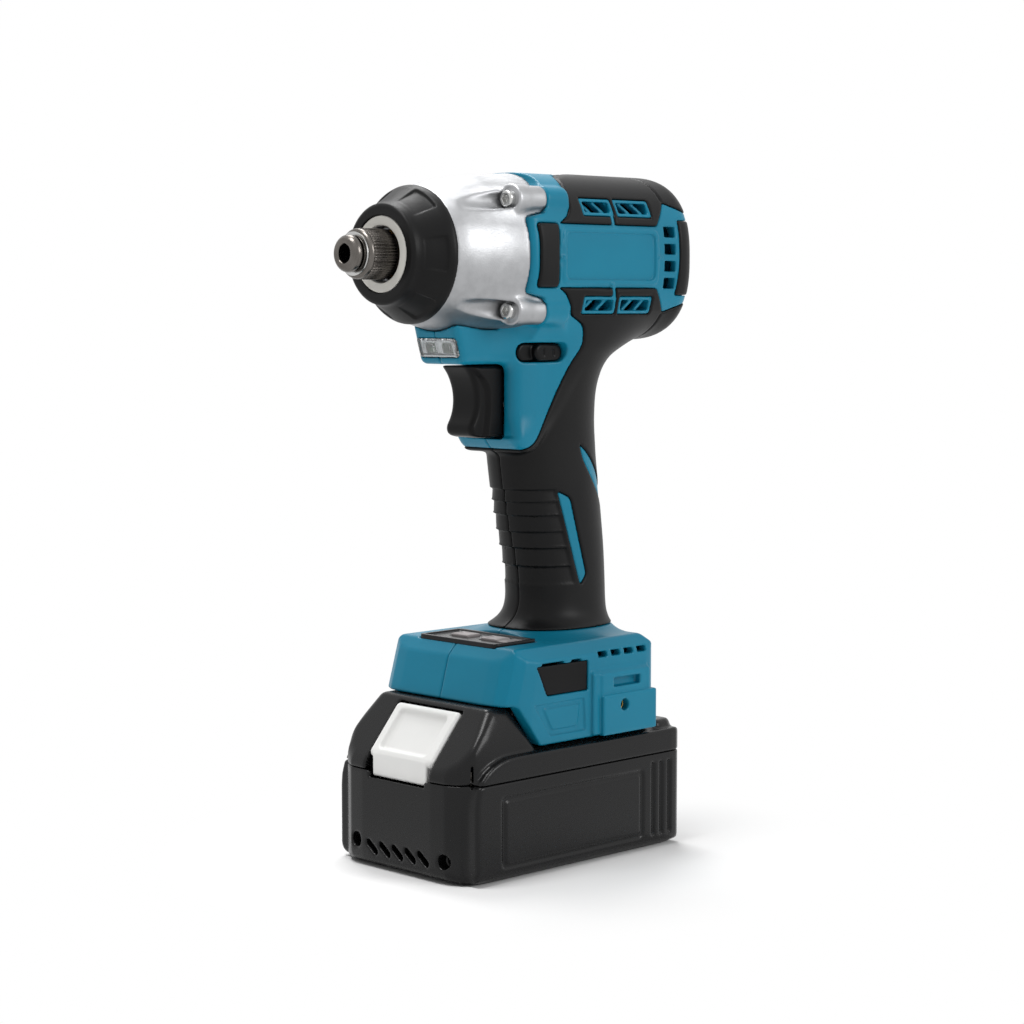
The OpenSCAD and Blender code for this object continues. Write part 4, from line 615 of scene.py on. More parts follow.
def linear(hex_colour: str) -> Tuple[float, float, float, float]:
    """Turns an sRGB hex colour to linear red, green, blue and alpha."""
    parts = [int(hex_colour[i:i + 2], 16) / 255.0 for i in (1, 3, 5)]
    r, g, b = [c / 12.92 if c <= 0.04045 else ((c + 0.055) / 1.055) ** 2.4 for c in parts]
    return r, g, b, 1.0


def add(tree: bpy.types.NodeTree, kind: str, settings: Optional[dict] = None,
        links: Optional[dict] = None) -> bpy.types.Node:
    """Adds one shader node.

    Args:
        tree: The material's node tree.
        kind: Blender's name of the node type.
        settings: Values for its sockets or its own properties.
        links: Output sockets to join to its inputs, by input name.

    Returns:
        The node.
    """
    node = tree.nodes.new(kind)
    for key, value in (settings or {}).items():
        if key in node.inputs:
            node.inputs[key].default_value = value
        else:
            setattr(node, key, value)
    for key, socket in (links or {}).items():
        tree.links.new(socket, node.inputs[key])
    return node


@dataclass(frozen=True)
class Finish:
    """A surface made from slow colour patches and a fine grain.

    The sizes are in millimetres; a grain finer than the render can show is
    drawn at about 0.5 mm, which is as fine as it still shows.
    """

    name: str
    colour: str
    shade: str
    roughness: float
    spread: float = 0.06
    patch_mm: float = 30.0
    grain_mm: float = 0.6
    relief_mm: float = 0.03
    metallic: float = 0.0
    ior: float = 1.5
    specular: float = 0.5
    transmission: float = 0.0
    stretch: Triple = (1.0, 1.0, 1.0)

    def make(self) -> bpy.types.Material:
        """Builds the material.

        Returns:
            The material with its nodes.
        """
        material = bpy.data.materials.new(self.name)
        material.use_nodes = True
        tree = material.node_tree
        tree.nodes.clear()
        place = add(tree, "ShaderNodeTexCoord")
        spot = add(tree, "ShaderNodeMapping", {"Scale": self.stretch},
                   {"Vector": place.outputs["Object"]})
        slow = add(tree, "ShaderNodeTexNoise",
                   {"Scale": 1.0 / (self.patch_mm * MM), "Detail": 3.0},
                   {"Vector": spot.outputs["Vector"]})
        colours = add(tree, "ShaderNodeValToRGB", {}, {"Fac": slow.outputs["Fac"]})
        colours.color_ramp.elements[0].position = 0.35
        colours.color_ramp.elements[1].position = 0.65
        colours.color_ramp.elements[0].color = linear(self.colour)
        colours.color_ramp.elements[1].color = linear(self.shade)
        grain = add(tree, "ShaderNodeTexNoise",
                    {"Scale": 1.0 / (self.grain_mm * MM), "Detail": 2.0},
                    {"Vector": spot.outputs["Vector"]})
        gloss = add(tree, "ShaderNodeMapRange",
                    {"To Min": self.roughness - self.spread,
                     "To Max": self.roughness + self.spread},
                    {"Value": grain.outputs["Fac"]})
        bump = add(tree, "ShaderNodeBump", {"Strength": 1.0, "Distance": self.relief_mm * MM},
                   {"Height": grain.outputs["Fac"]})
        settings = {"Metallic": self.metallic, "Specular IOR Level": self.specular,
                    "Transmission Weight": self.transmission}
        if not self.metallic:
            settings["IOR"] = self.ior
        shader = add(tree, "ShaderNodeBsdfPrincipled", settings,
                     {"Base Color": colours.outputs["Color"],
                      "Roughness": gloss.outputs["Result"],
                      "Normal": bump.outputs["Normal"]})
        add(tree, "ShaderNodeOutputMaterial", {}, {"Surface": shader.outputs["BSDF"]})
        return material


FINISHES: Dict[str, Finish] = {
    # The black and teal mouldings have spark-eroded skins. Their fine pits hide part
    # of the reflection, so their specular level is below the usual 0.5.
    # Moulded ABS, spark-eroded mould: an even satin teal with a fine pebble.
    "teal_plastic": Finish("teal_abs_moulded", "#08728E", "#0B7A96", 0.36, specular=0.2,
                           grain_mm=0.5, relief_mm=0.02, ior=1.54, patch_mm=60.0),
    # Moulded thermoplastic rubber: charcoal, soft and nearly matt.
    "overmould": Finish("charcoal_rubber_moulded", "#0E0E0F", "#131313", 0.42, specular=0.15,
                        grain_mm=0.5, relief_mm=0.03, ior=1.5),
    # Glass-filled nylon: black with a low sheen.
    "black_plastic": Finish("black_nylon_moulded", "#080809", "#0D0D0E", 0.34, specular=0.12,
                            grain_mm=0.5, relief_mm=0.02, ior=1.53),
    # Polycarbonate blend of the battery's case: black, semi-gloss.
    "battery_plastic": Finish("black_polycarbonate_moulded", "#0B0B0C", "#0F0F10", 0.27, 0.03,
                              specular=0.2, grain_mm=0.7, relief_mm=0.005, ior=1.57,
                              patch_mm=50.0),
    # Gloss film over the control panel: near-black.
    "dark_panel": Finish("dark_film_gloss", "#0B0C0E", "#101114", 0.24, 0.04, ior=1.49,
                         specular=0.2),
    # Moulded keys: grey with a low gloss.
    "key_plastic": Finish("grey_key_plastic_moulded", "#8C8686", "#989291", 0.35, ior=1.5),
    # Moulded acetal of the latch: white with a soft gloss.
    "white_plastic": Finish("white_acetal_moulded", "#E0E0DE", "#E6E6E4", 0.4,
                            grain_mm=0.6, relief_mm=0.01, ior=1.48),
    # Natural nylon of the cell frames: off-white, matt.
    "frame_plastic": Finish("natural_nylon_moulded", "#CFCDC6", "#D8D6D0", 0.5, ior=1.53),
    # Clear moulded polycarbonate: a colourless lens.
    "lens": Finish("clear_polycarbonate_lens", "#F4F7F8", "#FAFCFC", 0.08, 0.03,
                   relief_mm=0.004, ior=1.585, transmission=0.95),
    # Die-cast aluminium, tumbled: bright satin with a sandy grain.
    "cast_aluminium": Finish("cast_aluminium_tumbled", "#A4A5A7", "#ADAEB0", 0.44, 0.12,
                             patch_mm=4.0, grain_mm=0.5, relief_mm=0.04, metallic=1.0),
    # Pressed aluminium plate: pale, plain satin.
    "plate_aluminium": Finish("aluminium_plate_rolled", "#B9BBBE", "#C4C6C8", 0.34, 0.06,
                              metallic=1.0, stretch=(1.0, 6.0, 1.0)),
    # Blackened turned steel: warm gunmetal with faint turning marks.
    "dark_steel": Finish("gunmetal_steel_turned", "#5E5A56", "#6C6864", 0.26, 0.06,
                         patch_mm=6.0, grain_mm=0.4, relief_mm=0.01, metallic=1.0,
                         stretch=(6.0, 1.0, 1.0)),
    # Ground bright steel: a clear, cool shine.
    "steel": Finish("bright_steel_ground", "#B9B9B8", "#C6C6C4", 0.24, 0.06,
                    patch_mm=6.0, grain_mm=0.4, relief_mm=0.008, metallic=1.0),
    # Stacked electrical steel: grey with fine sheet edges across the axis.
    "lamination_steel": Finish("electrical_steel_stacked", "#6E7073", "#85878A", 0.42, 0.1,
                               patch_mm=3.0, grain_mm=0.5, relief_mm=0.05, metallic=1.0,
                               stretch=(8.0, 1.0, 1.0)),
    # Enamelled copper winding: warm, with the wires' fine lines.
    "copper": Finish("copper_winding_enamelled", "#8E4A26", "#B4693A", 0.3, 0.1,
                     patch_mm=2.0, grain_mm=0.8, relief_mm=0.08, metallic=1.0,
                     stretch=(1.0, 4.0, 4.0)),
    # Sintered bronze: a dull golden brown.
    "bronze": Finish("bronze_sintered", "#8C6B3E", "#9A7848", 0.4, metallic=1.0),
    # Turned brass: yellow with a soft shine.
    "brass": Finish("brass_turned", "#B08D4C", "#C09C58", 0.28, metallic=1.0),
    # Glass-fibre board under lacquer: green, half gloss.
    "board": Finish("green_board_lacquered", "#1F5A38", "#2A6B45", 0.35, ior=1.55,
                    patch_mm=4.0),
    # Shrink sleeve around each cell: blue film.
    "cell": Finish("blue_shrink_film", "#3A6396", "#426FA6", 0.35, ior=1.53),
    # Silicone insulation of the leads: soft black.
    "lead": Finish("black_silicone_extruded", "#232324", "#2B2B2C", 0.5, ior=1.45),
}


@dataclass
class Wardrobe:
    """Materials by slot name, each built once."""

    made: Dict[str, bpy.types.Material] = field(default_factory=dict)

    def of(self, slot: str) -> bpy.types.Material:
        """The material of a slot."""
        if slot not in self.made:
            self.made[slot] = FINISHES[slot].make()
        return self.made[slot]

    def dress_frame(self) -> None:
        """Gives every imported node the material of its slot."""
        for part in frame["record"]["subparts"]:
            node = frame["nodes"][part["node"]]
            node.data.materials.clear()
            node.data.materials.append(self.of(part["material_slot"]))


WARDROBE = Wardrobe()


def put(name: str, points: np.ndarray, faces: np.ndarray, slot: str, rides: Rides,
        stands_for: Sequence[str] = ()) -> bpy.types.Object:
    """Makes a piece of the object from points and faces.

    Args:
        name: The piece's name.
        points: Points in millimetres.
        faces: Point numbers of each face.
        slot: Material slot of its finish.
        rides: Body that it moves with.
        stands_for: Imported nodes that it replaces.

    Returns:
        The new object.
    """
    mesh = bpy.data.meshes.new(name)
    mesh.vertices.add(len(points))
    mesh.vertices.foreach_set("co", (points * MM).ravel())
    mesh.loops.add(faces.size)
    mesh.loops.foreach_set("vertex_index", faces.ravel())
    mesh.polygons.add(len(faces))
    mesh.polygons.foreach_set("loop_start", np.arange(0, faces.size, faces.shape[1]))
    mesh.update(calc_edges=True)
    mesh.validate()
    mesh.shade_smooth()
    piece = bpy.data.objects.new(name, mesh)
    bpy.context.scene.collection.objects.link(piece)
    mesh.materials.append(WARDROBE.of(slot))
    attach(piece, rides.value)
    if stands_for:
        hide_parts(*stands_for)
    LOG.info("%s: %d points, %d faces", name, len(points), len(faces))
    return piece


def put_form(name: str, form: Form, lo: Triple, hi: Triple, step: float, slot: str,
             rides: Rides, stands_for: Sequence[str] = ()) -> bpy.types.Object:
    """Skins a form inside a box, with faces of a step's size, and makes a piece of it."""
    points, faces = SKINNER.skin(form, lo, hi, step)
    return put(name, points, faces, slot, rides, stands_for)


# ---------------------------------------------------------------- hammer case


@dataclass
class Case:
    """Cast hammer case, its rubber nose bumper and its four screws."""

    boss_y: float = 22.5
    boss_z: float = 20.0
    boss_r: float = 5.0
    boss_x: Pair = (-20.5, -7.0)
    ridge_l: float = 20.0
    ridge_r: float = 2.6
    ridge_share: float = 0.68
    edge: Tuple[Triple, ...] = (
        (-90.0, -10.0, 0), (-17.0, -10.0, 0), (-17.0, 13.4, 1.0), (-8.2, 15.2, 1.2),
        (-8.2, 22.0, 3.0), (-2.6, 27.5, 3.0), (-2.6, 60.0, 0), (-90.0, 60.0, 0))
    screw_r: float = 3.0
    screw_h: float = 2.6
    key_r: float = 1.5

    def ahead(self) -> Form:
        """Everything ahead of the housing's front edge."""
        line = bend(self.edge)
        return Form(lambda p: near_outline(line, p[:, 0], np.abs(p[:, 2] - AXIS_Z)))

    def places(self) -> List[Pair]:
        """Y and Z of the four screws."""
        return [(y * self.boss_y, AXIS_Z + z * self.boss_z) for y in (-1, 1) for z in (-1, 1)]

    def barrel(self) -> Form:
        """Outer turned form of the case, without bosses."""
        return turned([
            (-62.5, 0.0, 0), (-62.5, 13.66, 0.6), (-55.0, 13.66, 0.5), (-49.0, 22.5, 0.5),
            (-47.8, 23.9, 0.8), (-43.8, 25.6, 2.0), (-36.1, 27.4, 3.0), (-26.1, 28.8, 3.0),
            (-17.2, 29.2, 0.3), (-17.2, 26.0, 0.2), (5.5, 26.0, 0.3), (5.5, 0.0, 0)])

    def form(self) -> Form:
        """The whole casting."""
        case = self.barrel()
        back = turned([(-18.5, 20.0, 0), (-18.5, 29.1, 0.2), (-12.0, 29.8, 2.0),
                       (-2.7, 30.6, 0.3), (-2.7, 20.0, 0)])
        case = case.join(back.keep(self.ahead().grow(-0.25), 0.2), 0.2)
        x0, x1 = self.boss_x
        for y, z in self.places():
            case = case.join(rod(0, (y, z), self.boss_r, x0, x1, 0.8), 1.6)
            case = case.join(self.ridge(y, z - AXIS_Z), 6.0)
        for y, z in self.places():
            case = case.cut(rod(0, (y, z), self.screw_r + 0.9, x0 - 22.0, x0 - 0.6, 0.3), 1.2)
        bore = turned([(-64.0, 0.0, 0), (-64.0, 9.8, 0), (-59.1, 9.8, 0.4), (-59.1, 7.2, 0.3),
                       (-45.0, 7.2, 0.3), (-45.0, 21.0, 2.0), (-40.0, 24.0, 2.0),
                       (6.5, 24.0, 0), (6.5, 0.0, 0)])
        return case.cut(bore, 0.4)

    def ridge(self, y: float, z: float) -> Form:
        """Tapered rib that runs forward from a boss.

        Args:
            y: The boss's distance from the axis sideways.
            z: The boss's distance from the axis upwards.

        Returns:
            The rib.
        """
        x0 = self.boss_x[0]
        a = np.array([x0 + 1.0, y * 0.9, AXIS_Z + z * 0.9])
        b = np.array([x0 - self.ridge_l, y * self.ridge_share, AXIS_Z + z * self.ridge_share])
        e = b - a

        def at(p: Points) -> np.ndarray:
            """Distance to the tapered rib."""
            t = np.clip((p - a) @ e / (e @ e), 0.0, 1.0)
            r = self.boss_r - 0.6 + (self.ridge_r - self.boss_r + 0.6) * t
            return np.linalg.norm(p - a - t[:, None] * e, axis=1) - r

        return Form(at)

    def bumper(self) -> Form:
        """Rubber nose bumper with six sunk panels around it."""
        skin = turned([
            (-63.2, 13.85, 0.2), (-63.2, 17.06, 0.6), (-62.5, 17.98, 0.4), (-60.2, 18.4, 1.6),
            (-58.1, 19.67, 2.0), (-51.2, 24.1, 0.8), (-49.7, 24.78, 0.4), (-48.2, 24.78, 0.3),
            (-48.2, 24.0, 0.1), (-49.2, 22.75, 0), (-54.9, 13.85, 0)])

        def panel(p: Points) -> np.ndarray:
            """Distance to the nearest of six panels on the cone."""
            turn = np.degrees(np.arctan2(p[:, 1], p[:, 2] - AXIS_Z))
            off = np.abs(turn % 60.0 - 30.0)
            r = np.hypot(p[:, 1], p[:, 2] - AXIS_Z)
            across = (off - 15.5) * math.pi / 180.0 * r
            along = np.abs(p[:, 0] + 55.3) - 3.6
            return soft_max(across, along, 0.8)

        def at(p: Points) -> np.ndarray:
            """Distance to the bumper, with panels that deepen to the rear."""
            f, q = skin.at(p), panel(p)
            depth = 0.1 + 0.65 * ramp(p[:, 0], -60.0, -51.6)
            return soft_max(f, soft_min(f + depth, -q, 0.4), 0.4)

        return Form(at)

    def ring(self) -> Form:
        """Pale washer around the bit sleeve."""
        return turned([(-62.9, 10.1, 0.2), (-62.9, 13.6, 0.3), (-62.3, 13.6, 0),
                       (-62.3, 10.1, 0)])

    def screw(self) -> Form:
        """One socket screw head, at the first boss."""
        y, z = self.places()[0]
        x = self.boss_x[0] - self.screw_h - 0.4

        def key(p: Points) -> np.ndarray:
            """Distance to the hexagonal socket."""
            a = p[:, 1] - y
            b = p[:, 2] - z
            flat = np.maximum(np.abs(b), np.abs(a) * 0.866 + np.abs(b) * 0.5) - self.key_r
            return np.maximum(flat, p[:, 0] - (x + 1.8))

        return rod(0, (y, z), self.screw_r, x, self.boss_x[0] + 0.5, 0.9).cut(Form(key), 0.25)

    def build(self) -> None:
        """Builds the case, the bumper and the screws."""
        put_form("hammer_case_casting", self.form(), (-63, -36, 187), (6, 36, 260), 0.62,
                 "cast_aluminium", Rides.BODY, ["hammer_case"])
        put_form("nose_bumper_moulding", self.bumper(), (-63.5, -25, 198.5), (-48, 25, 248.5),
                 0.5, "overmould", Rides.BODY, ["nose_bumper"])
        put_form("nose_washer", self.ring(), (-63, -14, 209.5), (-62, 14, 237.5), 0.3,
                 "frame_plastic", Rides.BODY)
        y, z = self.places()[0]
        x0 = self.boss_x[0]
        screw = SKINNER.skin(self.screw(), (x0 - 3.2, y - 3.1, z - 3.1),
                             (x0 + 0.6, y + 3.1, z + 3.1), 0.22)
        heads = copies(*screw, [(0.0, b - y, c - z) for b, c in self.places()])
        put("case_screw_heads", *heads, "steel", Rides.BODY, ["case_screws"])


# ---------------------------------------------------------------- housing


@dataclass
class Housing:
    """Two-piece housing with its soft overmould and side pads."""

    head_x: Pair = (-17.0, 71.75)
    head_half: Pair = (30.0, 30.85)
    head_square: float = 2.6
    head_rows: Tuple[Pair, ...] = ((0, .985), (.08, 1.0), (.89, 1.0), (.94, .985),
                                   (.975, .93), (1.0, .84))
    handle_z: Pair = (80.0, 203.5)
    handle_half: Pair = (22.0, 16.5)
    handle_x: float = 25.0
    handle_sway: float = -8.0
    handle_square: float = 2.3
    handle_rows: Tuple[Tuple[float, float, float, float], ...] = (
        (0, .7, 1.16, 1.35), (.03, .45, 1.06, 1.17), (.07, .12, .94, 1.05), (.13, 0, .875, 1),
        (.255, .2, .93, .985), (.362, .5, .985, .985), (.477, .77, 1, .99), (.576, .97, 1, 1),
        (.683, 1.05, .98, 1.03), (.79, .94, 1.01, 1.09), (.856, .66, 1.12, 1.21),
        (.906, .2, 1.38, 1.38), (1, -.4, 1.8, 1.65))
    foot_half: float = 35.0
    deck_z: float = 82.0
    grip_depth: float = 1.5
    grip_stand: float = 0.4
    rib_z: Tuple[float, ...] = (137.3, 132.7, 127.7, 121.4, 115.3, 108.3, 101.3)
    rib_depth: float = 1.1
    rib_reach: float = 10.2
    rib_slant: float = 0.26
    vent_x: Tuple[Pair, ...] = ((12.2, 26.2), (30.2, 46.6))
    vent_z: Pair = (15.9, 19.9)
    vent_rim: float = 1.3
    rear_vent_x: Pair = (53.4, 59.6)
    rear_vent_z: Pair = (3.2, 9.6)
    fin_at: Pair = (20.5, 18.3)
    fin_pitch: float = 7.0
    fin_half: float = 1.0
    fin_slant: float = 1.1
    boss_end: float = 4.4
    covered_x: float = -25.0
    screw_apart: float = 6.5
    screw_head: float = 2.3
    screw_at: Tuple[Triple, ...] = ()
    case: Case = field(default_factory=Case)

    def head(self) -> Form:
        """Motor part of the housing."""
        x0, x1 = self.head_x
        tx, ts = curve_table([(x0 + (x1 - x0) * a, s) for a, s in self.head_rows])
        w, h = self.head_half

        def at(p: Points) -> np.ndarray:
            """Distance to the motor part."""
            s = np.interp(p[:, 0], tx, ts)
            side = oval(np.abs(p[:, 1]), np.abs(p[:, 2] - AXIS_Z), w * s, h * s, self.head_square)
            return soft_max(side, np.maximum(p[:, 0] - x1, x0 - p[:, 0]), 4.0)

        return Form(at).cut(self.case.ahead(), 0.6)

    def handle(self) -> Form:
        """Handle lofted from the deck to the motor part."""
        z0, z1 = self.handle_z
        rows = [(z0 + (z1 - z0) * r[0], self.handle_x + self.handle_sway * r[1],
                 self.handle_half[0] * r[2], self.handle_half[1] * r[3])
                for r in self.handle_rows]
        (tz, tx), (_, ta), (_, tb) = (curve_table([(r[0], r[i]) for r in rows]) for i in (1, 2, 3))

        def at(p: Points) -> np.ndarray:
            """Distance to the handle."""
            z = p[:, 2]
            side = oval(np.abs(p[:, 0] - np.interp(z, tz, tx)), np.abs(p[:, 1]),
                        np.interp(z, tz, ta), np.interp(z, tz, tb), self.handle_square)
            return np.maximum(side, np.maximum(z0 - 6.0 - z, z - z1 - 4.0))

        return Form(at)

    def guard(self) -> Form:
        """Trigger housing under the hammer case, with the lamp nose and the lip."""
        line = bend([(-38.5, 199.5, 1.0), (-34.3, 184.1, 2.2), (-11.6, 184.1, 3.5),
                     (-11.6, 157.4, 0.6), (-12.6, 156.8, 0.6), (-9.6, 153.0, 2.5),
                     (-6.0, 151.0, 4.0), (0.0, 152.9, 6.0), (24.0, 190.3, 8.0),
                     (10.0, 206.0, 2.0), (-37.4, 206.0, 0)])

        def at(p: Points) -> np.ndarray:
            """Distance to the trigger housing."""
            w = 12.0 + 5.0 * ramp(p[:, 0], -22.0, 0.0)
            lip = 4.5 + 12.5 * ramp(p[:, 0], -31.0, -9.0)
            w = lip + (w - lip) * ramp(p[:, 2], 157.0, 166.0)
            flat = near_outline(line, p[:, 0], p[:, 2], 12.0)
            return soft_max(flat, np.abs(p[:, 1]) - w, 4.0)

        return Form(at)

    def foot(self) -> Form:
        """Foot that holds the battery, with the hook lugs."""
        side = side_region([(-35.5, 61.95, 0.5), (-31.2, 77.2, 0.9), (-26.5, 82.0, 0.9),
                            (40.0, 82.0, 1.5), (44.5, 77.5, 1.5), (42.5, 46.6, 0.8),
                            (-17.7, 46.6, 0.8), (-28.3, 61.95, 2.0)])
        flat = plan_region(-35.5, 44.5, self.foot_half, 13.0, 6.0)

        def lean(p: Points) -> np.ndarray:
            """Distance to the plan, whose front corners lean back with the front."""
            back = np.clip(p[:, 2] - 62.6, 0.0, 20.0) * 0.2945 * (p[:, 0] < 0.0)
            return flat.at(np.stack([p[:, 0] - back, p[:, 1], p[:, 2]], 1))

        plan = Form(lean)
        bevel = plane((0, -1, 1), (0, -self.foot_half, self.deck_z - 4.8)).mirrored()
        foot = side.keep(plan, 0.8).keep(bevel, 0.7)
        low = both_sides(12.0, 41.0, 30.0, 38.3, 46.8, 61.8, 0.7)
        high = both_sides(12.0, 38.6, 30.0, 37.2, 60.0, 74.6, 0.7)
        slope = plane((0, -0.8, 1), (0, -37.2, 69.5)).mirrored()
        ridge = both_sides(8.4, 12.6, 30.0, 36.6, 47.2, 73.0, 1.0)
        lug = low.join(high.keep(slope, 0.5), 0.3).join(ridge.keep(slope, 0.6), 0.4)
        return foot.join(lug, 0.5)

    def outer(self) -> Form:
        """Outer skin of the whole housing."""
        form = self.head()
        x1 = self.case.boss_x[1]
        for y, z in self.case.places():
            form = form.join(rod(0, (y, z), self.case.boss_r + 0.15, x1,
                                 self.boss_end, 1.4), 1.4)
        guard = self.guard().within((-39.0, -17.5, 151.0), (24.5, 17.5, 206.5), 12.0)
        handle = self.handle().join(guard, 3.0)
        foot = self.foot().within((-36.0, -38.5, 46.0), (45.0, 38.5, 82.5), 12.0)
        return form.join(handle, 7.0).join(foot, 9.0)

    def grip_region(self) -> Form:
        """Side view of the overmould: handle, head strips, head top and rear band."""
        handle = side_region([
            (-40.0, 148.4, 0), (-18.0, 150.4, 3.0), (-3.0, 153.8, 5.0), (17.6, 191.0, 4.0),
            (14.0, 198.5, 3.0), (6.6, 202.0, 1.5), (4.9, 206.0, 1.5), (2.0, 209.6, 1.0),
            (-2.0, 211.9, 0.6), (49.6, 211.9, 1.0), (56.4, 202.9, 1.0), (66.0, 205.8, 1.0),
            (90.0, 211.0, 0), (90.0, 84.6, 0), (-40.0, 84.6, 0)])
        top = side_region([
            (-2.0, 235.1, 0.6), (49.6, 235.1, 1.0), (56.4, 244.1, 1.0), (66.0, 241.2, 1.0),
            (90.0, 236.0, 0), (90.0, 280.0, 0), (27.0, 280.0, 0), (26.0, 254.6, 0),
            (16.0, 253.8, 2.0), (8.6, 252.2, 2.0), (5.6, 247.0, 2.0), (4.6, 241.0, 1.5),
            (2.0, 237.4, 1.0)])
        band = side_region([(61.8, 237.6, 1.0), (62.0, 223.0, 3.0), (60.6, 209.4, 1.0),
                            (90.0, 209.4, 0), (90.0, 237.6, 0)])
        region = handle.join(top, 0).join(band, 0)
        (d0, d1), rim = self.vent_z, self.vent_rim
        for x0, x1 in self.vent_x:
            region = region.cut(bands(x0 - rim, x1 + rim, d0 - rim, d1 + rim, 0.8), 0.2)
        region = region.cut(bands(25.2, 27.0, 11.0, 16.0, 0.4), 0.2)
        stripe = side_region([(10.4, 136.6, 1.5), (16.6, 133.8, 2.0), (25.2, 104.4, 1.5),
                              (22.0, 100.4, 1.5)])
        rear = side_region([(21.2, 153.6, 0.6), (25.6, 150.7, 2.0), (30.4, 146.3, 3.0),
                            (35.0, 141.2, 3.0), (41.0, 133.0, 1.0), (40.6, 127.0, 1.0),
                            (36.6, 132.4, 2.0), (32.2, 137.2, 3.0), (27.8, 142.2, 3.0),
                            (23.4, 147.8, 2.0)])
        region = region.cut(stripe, 0.2).cut(rear, 0.2)
        return side_table(region, (-45.0, 80.0), (80.0, 262.0))

    def ribbed(self, skin: Form) -> Form:
        """Adds the finger ribs to the handle's skin.

        Args:
            skin: The grip's outer form.

        Returns:
            The form with ribs like shingles, sunk under each edge.
        """
        edges = np.array(self.rib_z[::-1])

        def at(p: Points) -> np.ndarray:
            """Distance to the ribbed skin."""
            f = skin.at(p)
            x, z = p[:, 0], p[:, 2]
            i = np.clip(np.searchsorted(edges, z, side="right") - 1, 0, len(edges) - 2)
            t = np.clip((z - edges[i]) / (edges[i + 1] - edges[i]), 0.0, 1.0)
            dip = (0.25 + 0.75 * t) * (1.0 - ramp(t, 0.9, 1.0)) * ramp(t, 0.0, 0.05)
            reach = self.rib_reach + (self.rib_z[0] - z) * self.rib_slant
            where = (1.0 - ramp(x, reach - 1.2, reach)) * (z > edges[0]) * (z < edges[-1])
            return f + self.rib_depth * dip * where

        return Form(at)

    def hook_place(self) -> Pair:
        """X and Z of the belt hook's inserts."""
        lo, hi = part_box("hook_inserts")
        return (lo.x + hi.x) / 2 / MM, (lo.z + hi.z) / 2 / MM

    def rooms(self) -> List[Tuple[Form, float]]:
        """Rooms inside the housing, each with the rounding of its edge.

        Returns:
            Forms to cut from the housing.
        """
        bore = turned([(-40.0, 0.0, 0), (-40.0, 27.0, 0), (62.0, 27.0, 1.0), (62.0, 0.0, 0)])
        return [
            (self.case.barrel().grow(0.2), 0.4),
            (bore, 0.4),
            (box((-60.0, -9.35, 156.5), (-1.7, 9.35, 184.0), 1.0), 0.6),
            (box((-4.0, -9.6, 161.2), (22.6, 9.6, 184.7), 0.3), 0.2),
            (box((-60.0, -10.15, 186.6), (-31.0, 10.15, 193.8), 1.2), 0.3),
            (box((-10.3, -FAR, 184.7), (10.9, FAR, 191.9), 3.5), 0.6),
            (box((-60.0, -29.2, 40.0), (40.5, 29.2, 61.9), 0.8).cut(
                both_sides(-70.0, 60.0, 25.6, 40.0, 30.0, 49.8, 0.6), 0.3), 0.4),
            (box((-26.0, -31.0, 61.0), (40.5, 31.0, 78.0), 0.8), 0.4),
            (box((-27.2, -21.2, 80.6), (-4.8, 21.2, 90.0), 2.0), 0.3),
            (both_sides(-18.7, -10.3, 2.8, 13.2, 70.0, 90.0, 0.8), 0.3),
            (rod(1, self.hook_place(), 2.2, -60.0, -30.0, 0).mirrored(), 0.3),
        ]

    def detailed(self, skin: Form) -> Form:
        """Adds panels, beads and recesses to the housing's skin.

        Args:
            skin: The outer form.

        Returns:
            The form with its details.
        """
        frame_out = patch(-1.2, 49.8, 213.2, 233.8, 2.6)
        frame_in = patch(0.6, 48.0, 215.0, 232.0, 2.0)
        skin = skin.stand(frame_out.cut(frame_in, 0.1), 0.45, 0.5)
        skin = skin.sink(frame_in, 0.45, 0.4)
        for x0, x1, z0, z1 in ((-3.6, -2.2, 214.0, 220.0), (-3.6, -2.2, 227.0, 233.0),
                               (-4.6, -0.6, 222.2, 223.2), (49.2, 52.2, 223.0, 224.0),
                               (24.0, 25.4, 210.9, 214.0)):
            skin = skin.stand(patch(x0, x1, z0, z1, 0.4), 0.5, 0.5)
        pad = self.pad_region().grow(0.3)
        skin = skin.sink(pad.keep(both_sides(-30.0, 20.0, 20.0, 60.0, 190.0, 250.0), 0), 1.2, 0.4)
        sides = self.foot_sides()
        skin = skin.sink(self.inset().grow(0.15), 1.4, 0.3)
        outer = side_region([(-20.8, 61.6, 0.6), (5.0, 61.6, 0.6), (5.8, 49.6, 0.6),
                             (-12.6, 49.6, 0.6)])
        inner = side_region([(-15.8, 59.8, 0.6), (2.8, 59.8, 0.6), (1.4, 51.8, 0.6),
                             (-11.6, 51.8, 0.6)])
        skin = skin.sink(outer.keep(sides, 0), 0.7, 0.35)
        return skin.stand(inner.keep(sides, 0), 0.6, 0.35)

    def inset(self) -> Form:
        """Dark plates in the foot's sides, under the slots."""
        shape = side_region([(-19.4, 75.4, 0.6), (7.0, 75.4, 0.6), (7.0, 64.4, 0.6),
                             (-14.2, 64.4, 0.6)])
        return shape.keep(self.foot_sides(), 0)

    def foot_sides(self) -> Form:
        """The space that the foot's flat sides lie in."""
        return both_sides(-60.0, 60.0, 26.0, 60.0, 40.0, 78.5, 0)

    def slots(self) -> List[Form]:
        """Openings in the foot's sides and the lugs."""
        front = [(x0, x1, 74.6, 76.4) for x0, x1 in ((-17.0, -5.4), (-1.8, 3.6))]
        rear = [(x, x + 5.0, 75.6, 77.8) for x in (12.5, 19.5, 26.5, 33.5)]
        deck = [both_sides(x0, x1, 30.5, 45.0, z0, z1, 0.5) for x0, x1, z0, z1 in front + rear]
        return deck + [both_sides(18.6, 33.0, 34.4, 45.0, 64.4, 67.8, 0.6)]

